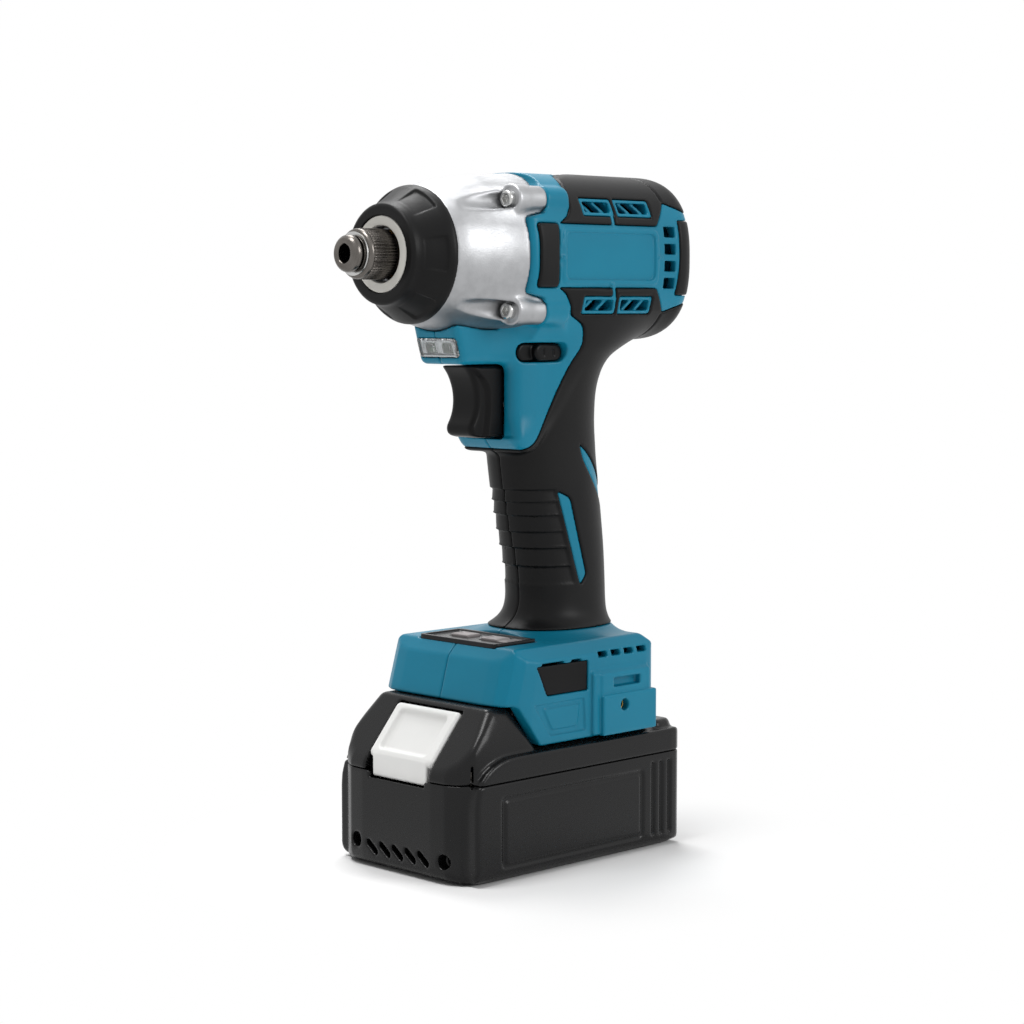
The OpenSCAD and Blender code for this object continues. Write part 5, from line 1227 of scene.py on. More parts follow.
    def vents(self) -> List[Form]:
        """Side view of the cooling openings."""
        sides = [bands(*span, *self.vent_z, 0.8) for span in self.vent_x]
        rear = [bands(*self.rear_vent_x, d - 2.0, d + 2.0, 0.4) for d in self.rear_vent_z]
        return sides + rear

    def fins(self, skin: Form) -> Form:
        """Slanted fins in the cooling openings.

        Args:
            skin: The housing's outer form.

        Returns:
            The fins.
        """
        (x, d), pitch = self.fin_at, self.fin_pitch

        def lean(p: Points) -> np.ndarray:
            """Distance to slanted sheets, a pitch apart."""
            s = (p[:, 0] - x) + (np.abs(p[:, 2] - AXIS_Z) - d) * self.fin_slant
            return (np.abs((s + pitch / 2) % pitch - pitch / 2) - self.fin_half) * 0.67

        sheets = Form(lean).keep(bands(11.8, 47.0, 15.4, 20.4, 0.3), 0)
        return sheets.keep(skin.grow(-1.3), 0.3).cut(skin.grow(-4.2), 0)

    def webs(self) -> Form:
        """Webs on the middle plane above and below the motor's front end."""
        form = box((9.5, -1.6, AXIS_Z + 13.5), (18.4, 1.6, AXIS_Z + 27.5), 0.3)
        second = box((20.4, -1.6, AXIS_Z + 18.8), (23.8, 1.6, AXIS_Z + 27.5), 0.3)
        return form.join(second, 0).doubled()

    def pad_region(self) -> Form:
        """Side view of the soft pads, slightly waisted."""
        return side_region([(-13.6, 212.0, 1.6), (-3.0, 212.0, 1.6), (-3.4, 218.0, 2.0),
                            (-3.4, 229.0, 2.0), (-3.0, 235.0, 1.6), (-13.6, 235.0, 1.6),
                            (-12.8, 229.0, 2.0), (-12.8, 218.0, 2.0)])

    def half(self, side: Side, skin: Form, region: Form) -> Form:
        """One half of the housing.

        Args:
            side: Which half.
            skin: Outer form of the whole housing.
            region: Side view of the overmould.

        Returns:
            The half, with pockets for the overmould.
        """
        form = self.detailed(skin).sink(region.grow(0.15), self.grip_depth, 0.3)
        for room, k in self.rooms():
            form = form.cut(room, k)
        for slot in self.slots():
            form = form.cut(slot, 0.3)
        deep = both_sides(-60.0, 90.0, 11.0, 60.0, 190.0, 260.0, 0)
        for vent in self.vents():
            form = form.cut(vent.keep(deep, 0), 0.4)
        form = form.join(self.fins(skin), 0.2).join(self.webs(), 0.2)
        x0, x1 = self.case.boss_x
        for y, z in self.case.places():
            form = form.cut(rod(0, (y, z), self.case.boss_r + 0.35, x0 - 30.0, x1, 0), 0.3)
        if side is Side.RIGHT:
            for x, z, sink in self.screw_at:
                if x > self.covered_x:
                    form = form.cut(rod(1, (x, z), 3.1, sink, 60.0, 0), 0.4)
        return form.keep(side.space(), 0.6)

    def grip(self, side: Side, skin: Form, region: Form) -> Form:
        """Overmould of one half.

        Args:
            side: Which half.
            skin: Outer form of the whole housing.
            region: Side view of the overmould.

        Returns:
            The overmould.
        """
        form = self.ribbed(skin.grow(self.grip_stand)).keep(region.grow(-0.05), 0.9)
        crease = patch(55.5, 56.4, 244.6, 270.0, 0.3)
        form = form.sink(crease.join(patch(55.5, 56.4, 190.0, 202.4, 0.3), 0), 0.6, 0.5)
        form = form.cut(skin.grow(-self.grip_depth + 0.05), 0.2)
        return form.keep(side.space(), 0.8)

    def build(self) -> None:
        """Builds both halves, their overmoulds, the screws and the trim of their sides."""
        skin = self.outer()
        region = self.grip_region()
        self.screw_at = self.screw_places()
        for side in Side:
            name = side.name.lower()
            y0, y1 = side.span(-0.2, 39.0)
            put_form("housing_%s_moulding" % name, self.half(side, skin, region),
                     (-39.5, y0, 46.0), (73.0, y1, 256.5), 0.62, "teal_plastic", Rides.BODY,
                     ["housing_" + name])
            put_form("grip_%s_overmould" % name, self.grip(side, skin, region),
                     (-24.0, y0, 84.0), (73.5, y1, 256.5), 0.6, "overmould", Rides.BODY,
                     ["grip_" + name])
        self.screws()
        plate = skin.grow(-0.4).keep(self.inset(), 0.4).cut(skin.grow(-1.35), 0.1)
        x, z = self.hook_place()
        tube = rod(1, (x, z), 2.15, -35.4, -31.0, 0.2).cut(rod(1, (x, z), 1.65, -40, -30, 0), 0.2)
        pad = skin.grow(0.7).keep(self.pad_region(), 1.2).cut(skin.grow(-1.1), 0.2)
        for name, form, lo, hi, step, slot, nodes in (
                ("foot_inset_", plate, (-20.0, 28.0, 64.0), (7.5, 36.0, 76.0), 0.5,
                 "black_plastic", []),
                ("hook_insert_", tube.mirrored(), (x - 2.4, 30.8, z - 2.4),
                 (x + 2.4, 36.6, z + 2.4), 0.25, "brass", ["hook_inserts"]),
                ("side_pad_", pad, (-14.5, 20.0, 211.0), (-2.0, 33.0, 236.0), 0.45,
                 "overmould", ["side_pads"])):
            for side in Side:
                y0, y1 = side.span(lo[1], hi[1])
                put_form(name + side.name.lower(), form, (lo[0], y0, lo[2]), (hi[0], y1, hi[2]),
                         step, slot, Rides.BODY, nodes)

    def screws(self) -> None:
        """Builds the housing screws; the front one in the foot lies under the skin."""
        shank = rod(1, (0.0, 0.0), 1.3, -9.0, -2.0, 0.2)
        head = rod(1, (0.0, 0.0), 2.75, -2.2, 0.0, 0.7).join(shank, 0.3)

        def key(p: Points) -> np.ndarray:
            """Distance to a cross-shaped recess."""
            a, b = np.abs(p[:, 0]), np.abs(p[:, 2])
            cross = np.minimum(np.maximum(a - 1.7, b - 0.4), np.maximum(a - 0.4, b - 1.7))
            return np.maximum(cross, -1.1 - p[:, 1])

        screw = SKINNER.skin(head.cut(Form(key), 0.2), (-3, -9.2, -3), (3, 0.2, 3), 0.25)
        places = [(x + 1.5, sink - 2.75, z) if x < self.covered_x else (x, sink + 2.25, z)
                  for x, z, sink in self.screw_at]
        put("housing_screw_heads", *copies(*screw, places), "dark_steel", Rides.BODY,
            ["housing_screws"])

    def screw_places(self) -> Tuple[Triple, ...]:
        """X, Z and head depth of the housing screws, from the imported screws."""
        mesh = frame["nodes"]["housing_screws"].data
        points = np.array([v.co for v in mesh.vertices], float) / MM
        found: List[List[np.ndarray]] = []
        for p in points:
            for group in found:
                if np.hypot(*(p[[0, 2]] - group[0][[0, 2]])) < self.screw_apart:
                    group.append(p)
                    break
            else:
                found.append([p])
        out = []
        for group in found:
            g = np.array(group)
            mid = (g.min(0) + g.max(0)) / 2
            out.append((float(mid[0]), float(mid[2]), float(g[:, 1].max()) - self.screw_head))
        return tuple(out)


# ---------------------------------------------------------------- controls


@dataclass
class Controls:
    """Bit sleeve, trigger, direction lever, lens, panel and keys."""

    sleeve_teeth: int = 48
    sleeve_knurl: float = 0.6
    sleeve_bore: float = 7.15
    trigger_half: float = 9.0
    nose_at: Pair = (-38.5, 198.5)
    nose_lean: Pair = (4.0, 13.4)
    led_y: Pair = (-4.4, 4.4)

    def sleeve(self) -> Form:
        """Bit sleeve with an axial knurl between smooth rings."""
        lo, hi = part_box("bit_sleeve")
        x0, x1 = lo.x / MM, hi.x / MM
        r = (hi.z - lo.z) / 2 / MM
        bore = self.sleeve_bore
        body = turned([(x0, bore, 0.2), (x0, r - 0.9, 0.4), (x0 + 0.8, r - 0.15, 0.4),
                       (x0 + 1.9, r - 0.15, 0.3), (x0 + 2.3, r, 0.3), (x1 - 0.3, r, 0.3),
                       (x1, r - 0.4, 0.2), (x1, bore, 0.2)])

        def at(p: Points) -> np.ndarray:
            """Distance to the knurled sleeve."""
            f = body.at(p)
            turn = np.arctan2(p[:, 1], p[:, 2] - AXIS_Z)
            tooth = 0.5 - 0.5 * np.cos(turn * self.sleeve_teeth)
            zone = ramp(p[:, 0], x0 + 1.7, x0 + 2.2)
            rim = ramp(np.hypot(p[:, 1], p[:, 2] - AXIS_Z), r - 1.6, r - 0.9)
            return f + self.sleeve_knurl * tooth * zone * rim

        return Form(at)

    def trigger(self) -> Form:
        """Trigger with a concave front and a step along its side."""
        side = side_region([
            (-28.2, 183.6, 0.8), (-25.2, 180.2, 2.0), (-23.0, 175.5, 3.0), (-22.3, 170.5, 3.0),
            (-23.2, 165.5, 3.0), (-26.0, 161.0, 2.0), (-25.0, 158.0, 1.6), (-21.0, 157.1, 1.5),
            (-10.4, 157.4, 0.8), (-10.4, 183.6, 0.8)])
        w = self.trigger_half
        sz, sx = curve_table([(150.0, -19.6), (160.0, -19.2), (168.0, -18.2), (174.0, -18.4),
                              (178.0, -20.4), (181.0, -23.6), (186.0, -29.0)])

        def at(p: Points) -> np.ndarray:
            """Distance to the trigger."""
            f = side.at(p)
            step = np.interp(p[:, 2], sz, sx)
            front = ramp(p[:, 0], step - 1.1, step + 1.1)
            half = w - 1.8 + 1.75 * front
            return soft_max(f, (np.abs(p[:, 1]) - half) * 0.7, 1.8)

        lo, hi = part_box("trigger_spring")
        z, r = (lo.z + hi.z) / 2 / MM, (hi.z - lo.z) / 2 / MM
        well = rod(0, (0.0, z), r + 0.4, -17.2, -5.0, 0.2)
        stem = box((-11.5, -3.0, 176.25), (5.0, 3.0, 181.25), 0.3)
        return Form(at).cut(well, 0.2).join(stem, 0.2)

    def lever(self) -> Form:
        """Direction lever: a raised button and a low plate at each side."""
        lo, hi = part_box("direction_lever")
        y1 = hi.y / MM
        z0, z1 = lo.z / MM, hi.z / MM
        low = Form(lambda p: np.abs(p[:, 1]) - y1 + 2.6)
        high = Form(lambda p: np.abs(p[:, 1]) - y1)
        plate = patch(-9.9, 10.5, 185.1, 191.5, 3.1).keep(low, 1.0)
        button = patch(-3.4, 10.3, 185.2, 191.4, 3.0).keep(high, 1.2)
        one, two = (patch(x, x + 0.8, z0 + 1.4, z1 - 1.4, 0.3) for x in (0.4, 5.6))
        return plate.join(button, 0.4).sink(one.join(two, 0), 0.4, 0.4)

    def anvil(self) -> Form:
        """Anvil: a rounded tip with the bit socket, a ring groove and two lugs."""
        body = turned([
            (-80.0, 0.0, 0), (-80.0, 5.3, 0.5), (-78.7, 6.6, 1.0), (-76.9, 6.6, 0.3),
            (-76.7, 5.7, 0.2), (-74.8, 5.7, 0.2), (-74.8, 6.8, 0.2), (-59.3, 6.8, 0.2),
            (-59.3, 6.4, 0.2), (-46.4, 6.4, 0), (-46.4, 11.4, 0.3), (-41.4, 11.4, 0.3),
            (-41.4, 0.0, 0)])
        body = body.join(box((-46.2, -22.3, AXIS_Z - 6.0), (-41.6, 22.3, AXIS_Z + 6.0), 0.6), 0.4)

        def socket(p: Points) -> np.ndarray:
            """Distance to the socket: a hexagon with blunt corners and a countersink."""
            a, b = np.abs(p[:, 1]), np.abs(p[:, 2] - AXIS_Z)
            flat = np.maximum(a, b * 0.866 + a * 0.5) - 3.2
            sink = np.maximum(-79.4 - p[:, 0], 0.0) * 0.6
            return np.maximum(np.maximum(flat, np.hypot(a, b) - 3.3) - sink, p[:, 0] + 66.0)

        return body.cut(Form(socket), 0.25)

    def lens(self, lo: Triple, hi: Triple, r: float) -> Form:
        """A block that leans with the lamp nose.

        Args:
            lo: Lowest corner, with X from the nose's front face.
            hi: Highest corner, with X from the nose's front face.
            r: Edge radius.

        Returns:
            The leaning block.
        """
        block = box(lo, hi, r)
        (x, z), (back, down) = self.nose_at, self.nose_lean

        def at(p: Points) -> np.ndarray:
            """Distance to the leaning block."""
            nose = x + back * (z - p[:, 2]) / down
            return block.at(np.stack([p[:, 0] - nose, p[:, 1], p[:, 2]], 1)) * 0.96

        return Form(at)

    def lamp(self) -> None:
        """Builds the clear lens and the aluminium reflector behind it."""
        lens = self.lens((-0.3, -10.0, 186.8), (1.9, 10.0, 193.6), 0.7)
        lens = lens.cut(self.lens((-3.0, -8.9, 187.9), (0.05, 8.9, 192.5), 0.5), 0.2)
        for y in self.led_y:
            lens = lens.join(self.lens((-0.3, y - 2.9, 188.5), (1.5, y + 2.9, 191.9), 0.6), 0.2)
        put_form("lamp_lens_clear", lens, (-38.5, -10.2, 186.5), (-32.0, 10.2, 194.0), 0.3,
                 "lens", Rides.BODY, ["lamp_lens"])
        cup = self.lens((2.0, -9.9, 186.9), (2.5, 9.9, 193.5), 0.2)
        for y in self.led_y:
            cup = cup.cut(self.lens((1.0, y - 2.6, 188.2), (4.0, y + 2.6, 192.2), 0.4), 0.1)
        put_form("lamp_reflector", cup, (-37.0, -10.2, 186.5), (-32.0, 10.2, 194.0), 0.25,
                 "plate_aluminium", Rides.BODY)

    def panel(self) -> None:
        """Builds the control panel with its rim, window and two keys."""
        plate = box((-26.9, -20.9, 80.9), (-5.1, 20.9, 83.1), 0.5)
        plate = plate.keep(plan_region(-26.9, -5.1, 20.9, 3.0, 3.0), 0.3)
        plate = plate.cut(box((-25.0, -19.2, 82.4), (-7.0, 19.2, 90.0), 0.9), 0.4)
        put_form("panel_window", box((-19.0, -19.0, 82.0), (-10.2, -13.8, 83.0), 0.4),
                 (-19.2, -19.2, 81.8), (-10.0, -13.6, 83.2), 0.3, "key_plastic", Rides.BODY)
        plate = plate.cut(both_sides(-18.5, -10.5, 3.0, 13.0, 70.0, 90.0, 0.8), 0.3)
        put_form("control_panel_film", plate, (-27.2, -21.2, 80.6), (-4.8, 21.2, 83.4), 0.42,
                 "dark_panel", Rides.BODY, ["control_panel"])
        for node, rides in (("mode_key", Rides.MODE_KEY), ("light_key", Rides.LIGHT_KEY)):
            lo, hi = (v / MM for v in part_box(node))
            key = box(tuple(lo), (hi.x, hi.y, hi.z - 0.1), 0.6)
            dish = box((lo.x + 1.2, lo.y + 1.4, hi.z - 0.4), (hi.x - 1.2, hi.y - 1.4, 99.0), 0.5)
            put_form(node + "_cap", key.cut(dish, 0.3), tuple(lo), tuple(hi), 0.3,
                     "key_plastic", rides, [node])

    def build(self) -> None:
        """Builds the pieces that a hand works."""
        self.lamp()
        self.panel()
        put_form("anvil_turned", self.anvil(), (-80.0, -22.5, 212.0), (-41.3, 22.5, 235.0), 0.3,
                 "dark_steel", Rides.ANVIL, ["anvil"])
        lo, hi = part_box("bit_sleeve")
        put_form("bit_sleeve_knurled", self.sleeve(),
                 (lo.x / MM, -9.2, AXIS_Z - 9.2), (hi.x / MM, 9.2, AXIS_Z + 9.2), 0.26,
                 "dark_steel", Rides.SLEEVE, ["bit_sleeve"])
        put_form("trigger_moulding", self.trigger(), (-29, -9.2, 156.8), (6.0, 9.2, 185), 0.42,
                 "black_plastic", Rides.TRIGGER, ["trigger"])
        lo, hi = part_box("direction_lever")
        put_form("direction_lever_moulding", self.lever(), (-10.5, lo.y / MM, 184.5),
                 (11.0, hi.y / MM, 192.0), 0.42, "black_plastic", Rides.LEVER,
                 ["direction_lever"])


# ---------------------------------------------------------------- springs


@dataclass
class Springs:
    """Coil springs, each wound to fill the box of its imported node."""

    steps: int = 30
    sides: int = 8

    def coil(self, axis: int, lo: np.ndarray, hi: np.ndarray, wire: float,
             turns: int) -> Tuple[np.ndarray, np.ndarray]:
        """Winds a round wire so that it fills a box.

        Args:
            axis: Direction of the coil, 0 for X and 2 for Z.
            lo: Lowest corner of the box.
            hi: Highest corner of the box.
            wire: Radius of the wire.
            turns: Number of turns.

        Returns:
            Points and four-sided faces.
        """
        count, m = turns * self.steps, self.sides
        t = np.linspace(0.0, 1.0, count)
        thick = np.full(count, wire)
        thick[[0, -1]] = wire * 0.05
        a, b = np.meshgrid(2 * np.pi * turns * t, np.arange(m) * 2 * np.pi / m, indexing="ij")
        across, over = (axis + 1) % 3, (axis + 2) % 3
        mid = (lo + hi) / 2
        r = (hi[over] - lo[over]) / 2 - wire + thick[:, None] * np.cos(b)
        points = np.empty((count, m, 3))
        points[..., axis] = (lo[axis] + wire + (hi[axis] - lo[axis] - 2 * wire) * t)[:, None]
        points[..., axis] += thick[:, None] * np.sin(b)
        points[..., across] = mid[across] + r * np.cos(a)
        points[..., over] = mid[over] + r * np.sin(a)
        here = np.arange((count - 1) * m).reshape(-1, m)
        turn = np.roll(here, -1, axis=1)
        faces = np.stack([here, here + m, turn + m, turn], axis=-1).reshape(-1, 4)
        end = np.array([(0, 1, 2, 7), (2, 3, 6, 7), (3, 4, 5, 6)])
        faces = np.concatenate([faces, end, end[:, ::-1] + (count - 1) * m])
        return points.reshape(-1, 3), faces

    def put(self, node: str, rides: Rides, joint: str, travel: float, wire: float, turns: int,
            axis: int = 0, fixed_high: bool = True) -> None:
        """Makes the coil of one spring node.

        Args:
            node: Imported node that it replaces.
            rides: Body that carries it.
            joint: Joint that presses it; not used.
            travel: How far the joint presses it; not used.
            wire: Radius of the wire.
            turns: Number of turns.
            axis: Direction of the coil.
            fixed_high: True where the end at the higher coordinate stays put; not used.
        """
        low, high = (np.array(corner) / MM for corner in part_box(node))
        wide, long = high - low, high[axis] - low[axis]
        one, shifts = high.copy(), [(0.0, 0.0, 0.0)]
        if axis == 2:
            # The latch's two springs lie side by side in one node.
            one[1] = low[1] + wide[0]
            shifts.append((0.0, wide[1] - wide[0], 0.0))
        mesh = copies(*self.coil(axis, low, one, wire, turns), shifts)
        piece = put(node + "_coil", *mesh, "steel", rides, [node])
        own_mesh(piece)

    def build(self) -> None:
        """Makes the four springs that a control or the hammer presses."""
        self.put("hammer_spring", Rides.SPINDLE, "hammer_recoil", 8.3, 0.9, 5)
        self.put("trigger_spring", Rides.BODY, "trigger_pull", 6.7, 0.4, 6)
        self.put("sleeve_spring", Rides.ANVIL, "sleeve_pull", 4.1, 0.4, 5, fixed_high=False)
        self.put("latch_springs", Rides.BATTERY, "latch_press", 3.6, 0.3, 4, 2, False)


# ---------------------------------------------------------------- battery


@dataclass
class Battery:
    """Slide-on pack: lower case, upper case and the white latch."""

    half_w: float = 34.5
    cheek: float = 3.0
    seam: float = 36.2
    tower: float = 61.6
    slope_foot: Pair = (-57.5, 38.6)
    slope_head: Pair = (-38.0, 61.6)
    latch_half: float = 17.0
    latch_share: Pair = (0.15, 0.92)
    slit_at: Pair = (13.4, 7.9)
    slit_pitch: float = 6.9
    slit_count: int = 5

    def along(self) -> Tuple[np.ndarray, np.ndarray, float]:
        """Direction up the slope, its outward normal and its length."""
        a, b = np.array(self.slope_foot), np.array(self.slope_head)
        length = float(np.linalg.norm(b - a))
        t = (b - a) / length
        return t, np.array([-t[1], t[0]]), length

    def latch_span(self) -> Pair:
        """Lower and upper end of the latch along the slope."""
        length = self.along()[2]
        return length * self.latch_share[0], length * self.latch_share[1]

    def on_slope(self, u0: float, u1: float, w: float, d0: float, d1: float, r: float) -> Form:
        """A block laid on the slope.

        Args:
            u0: Lower end along the slope.
            u1: Upper end along the slope.
            w: Half width.
            d0: Lower face, from the slope's plane outwards.
            d1: Upper face.
            r: Edge radius.

        Returns:
            The block.
        """
        t, n, _ = self.along()
        block = box((u0, -w, d0), (u1, w, d1), r)

        def at(p: Points) -> np.ndarray:
            """Distance to the block on the slope."""
            x, z = p[:, 0] - self.slope_foot[0], p[:, 2] - self.slope_foot[1]
            q = np.stack([x * t[0] + z * t[1], p[:, 1], x * n[0] + z * n[1]], 1)
            return block.at(q)

        return Form(at)

    def outer(self) -> Form:
        """Outer form of the closed pack."""
        side = side_region([
            (-57.5, 3.0, 3.0), (-52.0, 0.05, 3.0), (57.0, 0.05, 3.0), (57.5, 36.2, 0.3),
            (57.0, 45.6, 3.0), (54.5, 48.0, 1.2), (46.0, 48.0, 1.2), (45.0, 45.6, 0.6),
            (-18.4, 45.6, 1.5), (-29.0, 61.6, 1.0), (-38.0, 61.6, 1.5), (-57.5, 38.6, 2.0)])
        plan = plan_region(-57.5, 57.5, self.half_w, 16.0, 9.0)
        edge = plane((0, -1, 0.34), (0, -34.5, 48.5)).mirrored()
        body = side.keep(plan, 2.5).keep(edge, 3.5)
        cheek_side = side_region([(-51.5, 1.0, 2.5), (56.8, 1.0, 3.0), (57.3, 44.9, 4.0),
                                  (-40.5, 44.9, 9.0), (-51.5, 36.0, 9.0)])
        low = plane((0, -1, -0.8), (0, -37.5, 4.0)).mirrored()
        cheek = both_sides(-60.0, 57.4, 20.0, self.half_w + self.cheek, 0.0, 50.0, 2.0)
        cheek = cheek.keep(cheek_side, 1.6).keep(low, 1.5)
        rear = plan_region(-70.0, 57.4, self.half_w + self.cheek, 0.0, 7.0)
        return body.join(cheek.keep(rear, 1.0), 1.4)

    def top(self) -> Form:
        """Tower that slides into the foot's channel."""
        head = box((-26.0, -28.7, 50.2), (38.0, 28.7, self.tower), 0.8)
        neck = box((-30.0, -25.1, 44.0), (38.0, 25.1, 52.0), 0.4)
        tower = head.join(neck, 0.3)
        blades_lo, blades_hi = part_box("terminal_blades")
        y = blades_hi.y / MM
        slot = both_sides(blades_lo.x / MM - 2.0, 45.0, y - 2.8, y + 2.0, 49.0, 70.0, 0.4)
        return tower.cut(slot, 0.3)

    def detailed(self, form: Form) -> Form:
        """Adds the side panels and grooves.

        Args:
            form: The pack's outer form.

        Returns:
            The form with its details.
        """
        panel_out = patch(-39.0, 35.0, 5.0, 31.0, 2.0)
        panel_in = patch(-37.4, 33.4, 6.6, 29.4, 1.5)
        sides = both_sides(-60.0, 60.0, 28.0, 60.0, 0.0, 60.0, 0)
        form = form.sink(panel_out.cut(panel_in, 0).keep(sides, 0), 0.6, 0.6)
        for x in (40.5, 45.0, 49.5):
            form = form.sink(patch(x - 0.8, x + 0.8, 5.0, 33.0, 0.6).keep(sides, 0), 0.9, 0.6)
        return form

    def case(self) -> Form:
        """The closed pack with its tower, latch well and details."""
        u0, u1 = self.latch_span()
        form = self.detailed(self.outer()).join(self.top(), 0.4)
        well = self.on_slope(u0 - 5.5, u1 + 0.4, self.latch_half + 0.35, -6.5, 20.0, 1.2)
        form = form.cut(well, 0.5)
        w = self.latch_half - 2.0
        notch = box((-70.0, -w, 33.7), (-50.8, w, 48.0), 0.6)
        slot = box((-55.7, -w, 30.2), (-50.8, w, 40.0), 0.3)
        return form.cut(notch, 0.5).cut(slot, 0.2)

    def front_slots(self) -> List[Form]:
        """Slanted openings in the lower front edge, with a larger one at each end."""
        out = [rod(0, (y, z), 2.7, -70.0, -52.0, 0.3) for y, z in ((22.3, 9.4), (-24.4, 8.4))]
        z = self.slit_at[1]
        for i in range(self.slit_count):
            y = self.slit_at[0] - self.slit_pitch * i

            def at(p: Points, y: float = y) -> np.ndarray:
                """Distance to a slanted slit."""
                a, b = p[:, 1] - y, p[:, 2] - z
                along, across = a * 0.8 + b * 0.6, b * 0.8 - a * 0.6
                flat = np.hypot(np.maximum(np.abs(along) - 2.4, 0.0), across) - 1.25
                return np.maximum(flat, p[:, 0] + 52.0)

            out.append(Form(at))
        return out

    def latch(self) -> Form:
        """White latch: a dished plate with a rim and a skirt in front."""
        u0, u1 = self.latch_span()
        w = self.latch_half
        plate = self.on_slope(u0 - 0.6, u1 - 0.6, w, -3.0, 1.1, 2.0)
        dish = self.on_slope(u0 + 2.4, u1 - 3.6, w - 4.2, -0.9, 9.0, 2.0)
        x = self.slope_foot[0] + u0 * self.along()[0][0]
        skirt = box((x - 0.7, -w + 2.4, 34.1), (x + 3.0, w - 2.4, 43.0), 0.7)
        return plate.cut(dish, 0.9).join(skirt, 0.4)

    def build(self) -> None:
        """Builds both cases and the latch."""
        form = self.case()
        for slot in self.front_slots():
            form = form.cut(slot, 0.6)
        low = form.keep(Form(lambda p: p[:, 2] - self.seam + 0.1), 0.7)
        high = form.keep(Form(lambda p: self.seam + 0.1 - p[:, 2]), 0.7)
        inner = box((-50.0, -32.7, 2.4), (55.0, 32.7, 43.3), 1.0)
        put_form("battery_base_moulding", low.cut(inner, 0.2), (-58, -38, -0.5), (58, 38, 36.5),
                 0.72, "battery_plastic", Rides.BATTERY, ["battery_base"])
        put_form("battery_cover_moulding", high.cut(inner, 0.2), (-58, -38, 36), (58, 38, 62),
                 0.66, "battery_plastic", Rides.BATTERY, ["battery_cover"])
        put_form("latch_button_moulding", self.latch(), (-57, -17.5, 34), (-37, 17.5, 62), 0.42,
                 "white_plastic", Rides.LATCH, ["latch_button"])


# ---------------------------------------------------------------- studio


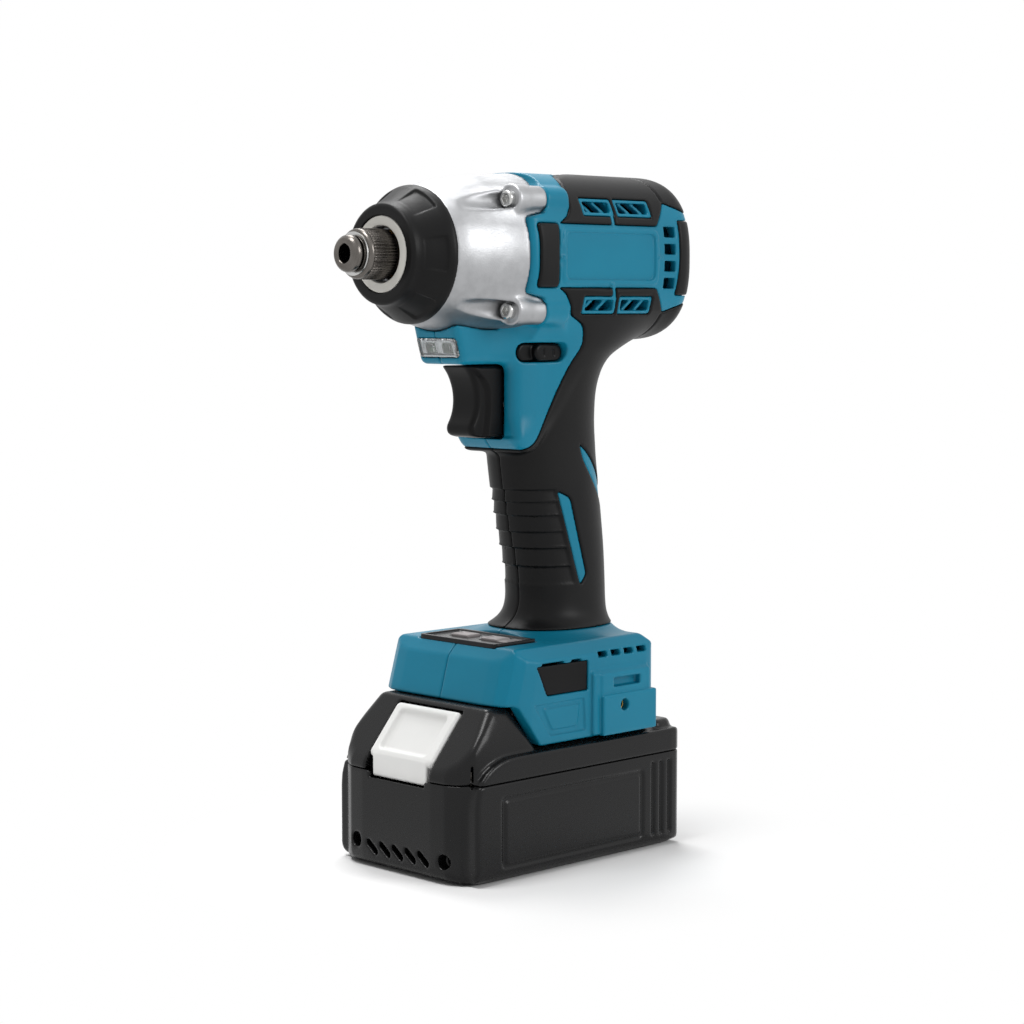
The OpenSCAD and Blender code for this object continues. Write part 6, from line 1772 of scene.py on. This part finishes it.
@dataclass
class Studio:
    """Camera, floor, lamps and the pale surroundings."""

    eye: Triple = (-617.0, -634.3, 205.5)
    forward: Triple = (0.6957, 0.7130, -0.0868)
    lens: float = 83.36
    sensor: float = 36.0
    paper_reach: Pair = (0.065, 0.135)
    floor_half: float = 12.0
    room_light: float = 0.34
    aim: Triple = (0.0, 0.0, 0.13)
    lamps: Tuple[Tuple[str, Triple, float, float], ...] = (
        ("back_softbox", (0.4, 0.7, 1.5), 0.7, 14.0),
        ("front_softbox", (-0.5, 0.1, 1.65), 0.6, 15.5),
        ("side_softbox", (0.45, -1.3, 0.72), 0.6, 8.0))

    def camera(self) -> None:
        """Sets the camera at the photograph's angle."""
        data = bpy.data.cameras.new("camera")
        data.lens, data.sensor_width = self.lens, self.sensor
        data.clip_start, data.clip_end = 0.01, 50.0
        eye = bpy.data.objects.new("camera", data)
        bpy.context.scene.collection.objects.link(eye)
        eye.location = Vector(self.eye) * MM
        eye.rotation_mode = "QUATERNION"
        eye.rotation_quaternion = Vector(self.forward).to_track_quat("-Z", "Y")
        bpy.context.scene.camera = eye

    def seen(self, tree: bpy.types.NodeTree) -> bpy.types.NodeSocket:
        """Tells rays that show the background from those that only light the tool.

        Args:
            tree: Node tree that asks.

        Returns:
            A socket that is 1 for camera, glossy and transmission rays.
        """
        path = add(tree, "ShaderNodeLightPath")
        seen = path.outputs["Is Camera Ray"]
        for name in ("Is Glossy Ray", "Is Transmission Ray"):
            either = add(tree, "ShaderNodeMath", {"operation": "MAXIMUM"})
            tree.links.new(seen, either.inputs[0])
            tree.links.new(path.outputs[name], either.inputs[1])
            seen = either.outputs["Value"]
        return seen

    def floor(self) -> None:
        """Lays a pale floor that takes the shadow and ends in plain white."""
        mesh = bpy.data.meshes.new("floor")
        s = self.floor_half
        mesh.from_pydata([(-s, -s, 0), (s, -s, 0), (s, s, 0), (-s, s, 0)], [], [(0, 1, 2, 3)])
        floor = bpy.data.objects.new("floor", mesh)
        bpy.context.scene.collection.objects.link(floor)
        material = bpy.data.materials.new("pale_floor_paper")
        material.use_nodes = True
        tree = material.node_tree
        tree.nodes.clear()
        paper = add(tree, "ShaderNodeBsdfDiffuse", {"Color": linear("#F2F2F2")})
        white = add(tree, "ShaderNodeEmission", {"Color": (1, 1, 1, 1), "Strength": 1.0})
        place = add(tree, "ShaderNodeTexCoord")
        reach = add(tree, "ShaderNodeVectorMath", {"operation": "LENGTH"})
        tree.links.new(place.outputs["Object"], reach.inputs[0])
        fade = add(tree, "ShaderNodeMapRange",
                   {"interpolation_type": "SMOOTHSTEP", "From Min": self.paper_reach[0],
                    "From Max": self.paper_reach[1]}, {"Value": reach.outputs["Value"]})
        shown = add(tree, "ShaderNodeMath", {"operation": "MULTIPLY"})
        tree.links.new(fade.outputs["Result"], shown.inputs[0])
        tree.links.new(self.seen(tree), shown.inputs[1])
        mixed = add(tree, "ShaderNodeMixShader", {}, {"Fac": shown.outputs["Value"]})
        tree.links.new(paper.outputs["BSDF"], mixed.inputs[1])
        tree.links.new(white.outputs["Emission"], mixed.inputs[2])
        add(tree, "ShaderNodeOutputMaterial", {}, {"Surface": mixed.outputs["Shader"]})
        mesh.materials.append(material)

    def sky(self) -> None:
        """Surrounds the scene with an even pale light."""
        world = bpy.data.worlds.new("studio")
        world.use_nodes = True
        bpy.context.scene.world = world
        tree = world.node_tree
        tree.nodes.clear()
        room = add(tree, "ShaderNodeBackground",
                   {"Color": (1, 1, 1, 1), "Strength": self.room_light})
        white = add(tree, "ShaderNodeBackground", {"Color": (1, 1, 1, 1), "Strength": 1.0})
        mixed = add(tree, "ShaderNodeMixShader", {}, {"Fac": self.seen(tree)})
        tree.links.new(room.outputs["Background"], mixed.inputs[1])
        tree.links.new(white.outputs["Background"], mixed.inputs[2])
        add(tree, "ShaderNodeOutputWorld", {}, {"Surface": mixed.outputs["Shader"]})

    def lamp(self, name: str, place: Triple, size: float, power: float) -> None:
        """Hangs a soft lamp aimed at the tool.

        Args:
            name: The lamp's name.
            place: Where it hangs, in metres.
            size: Side of its square face, in metres.
            power: Watts.
        """
        data = bpy.data.lights.new(name, "AREA")
        data.shape, data.size, data.energy = "SQUARE", size, power
        lamp = bpy.data.objects.new(name, data)
        bpy.context.scene.collection.objects.link(lamp)
        lamp.location = place
        lamp.rotation_mode = "QUATERNION"
        aim = Vector(self.aim) - Vector(place)
        lamp.rotation_quaternion = aim.to_track_quat("-Z", "Y")

    def build(self) -> None:
        """Sets up camera, floor, surroundings and lamps."""
        self.camera()
        self.floor()
        self.sky()
        for lamp in self.lamps:
            self.lamp(*lamp)
        bpy.context.scene.view_settings.view_transform = "Standard"


def main() -> None:
    """Dresses the frame and builds every piece in order."""
    logging.basicConfig(level=logging.INFO, format="%(message)s")
    Studio().build()
    WARDROBE.dress_frame()
    Case().build()
    Housing().build()
    Controls().build()
    Springs().build()
    Battery().build()


if __name__ == "__main__":
    main()
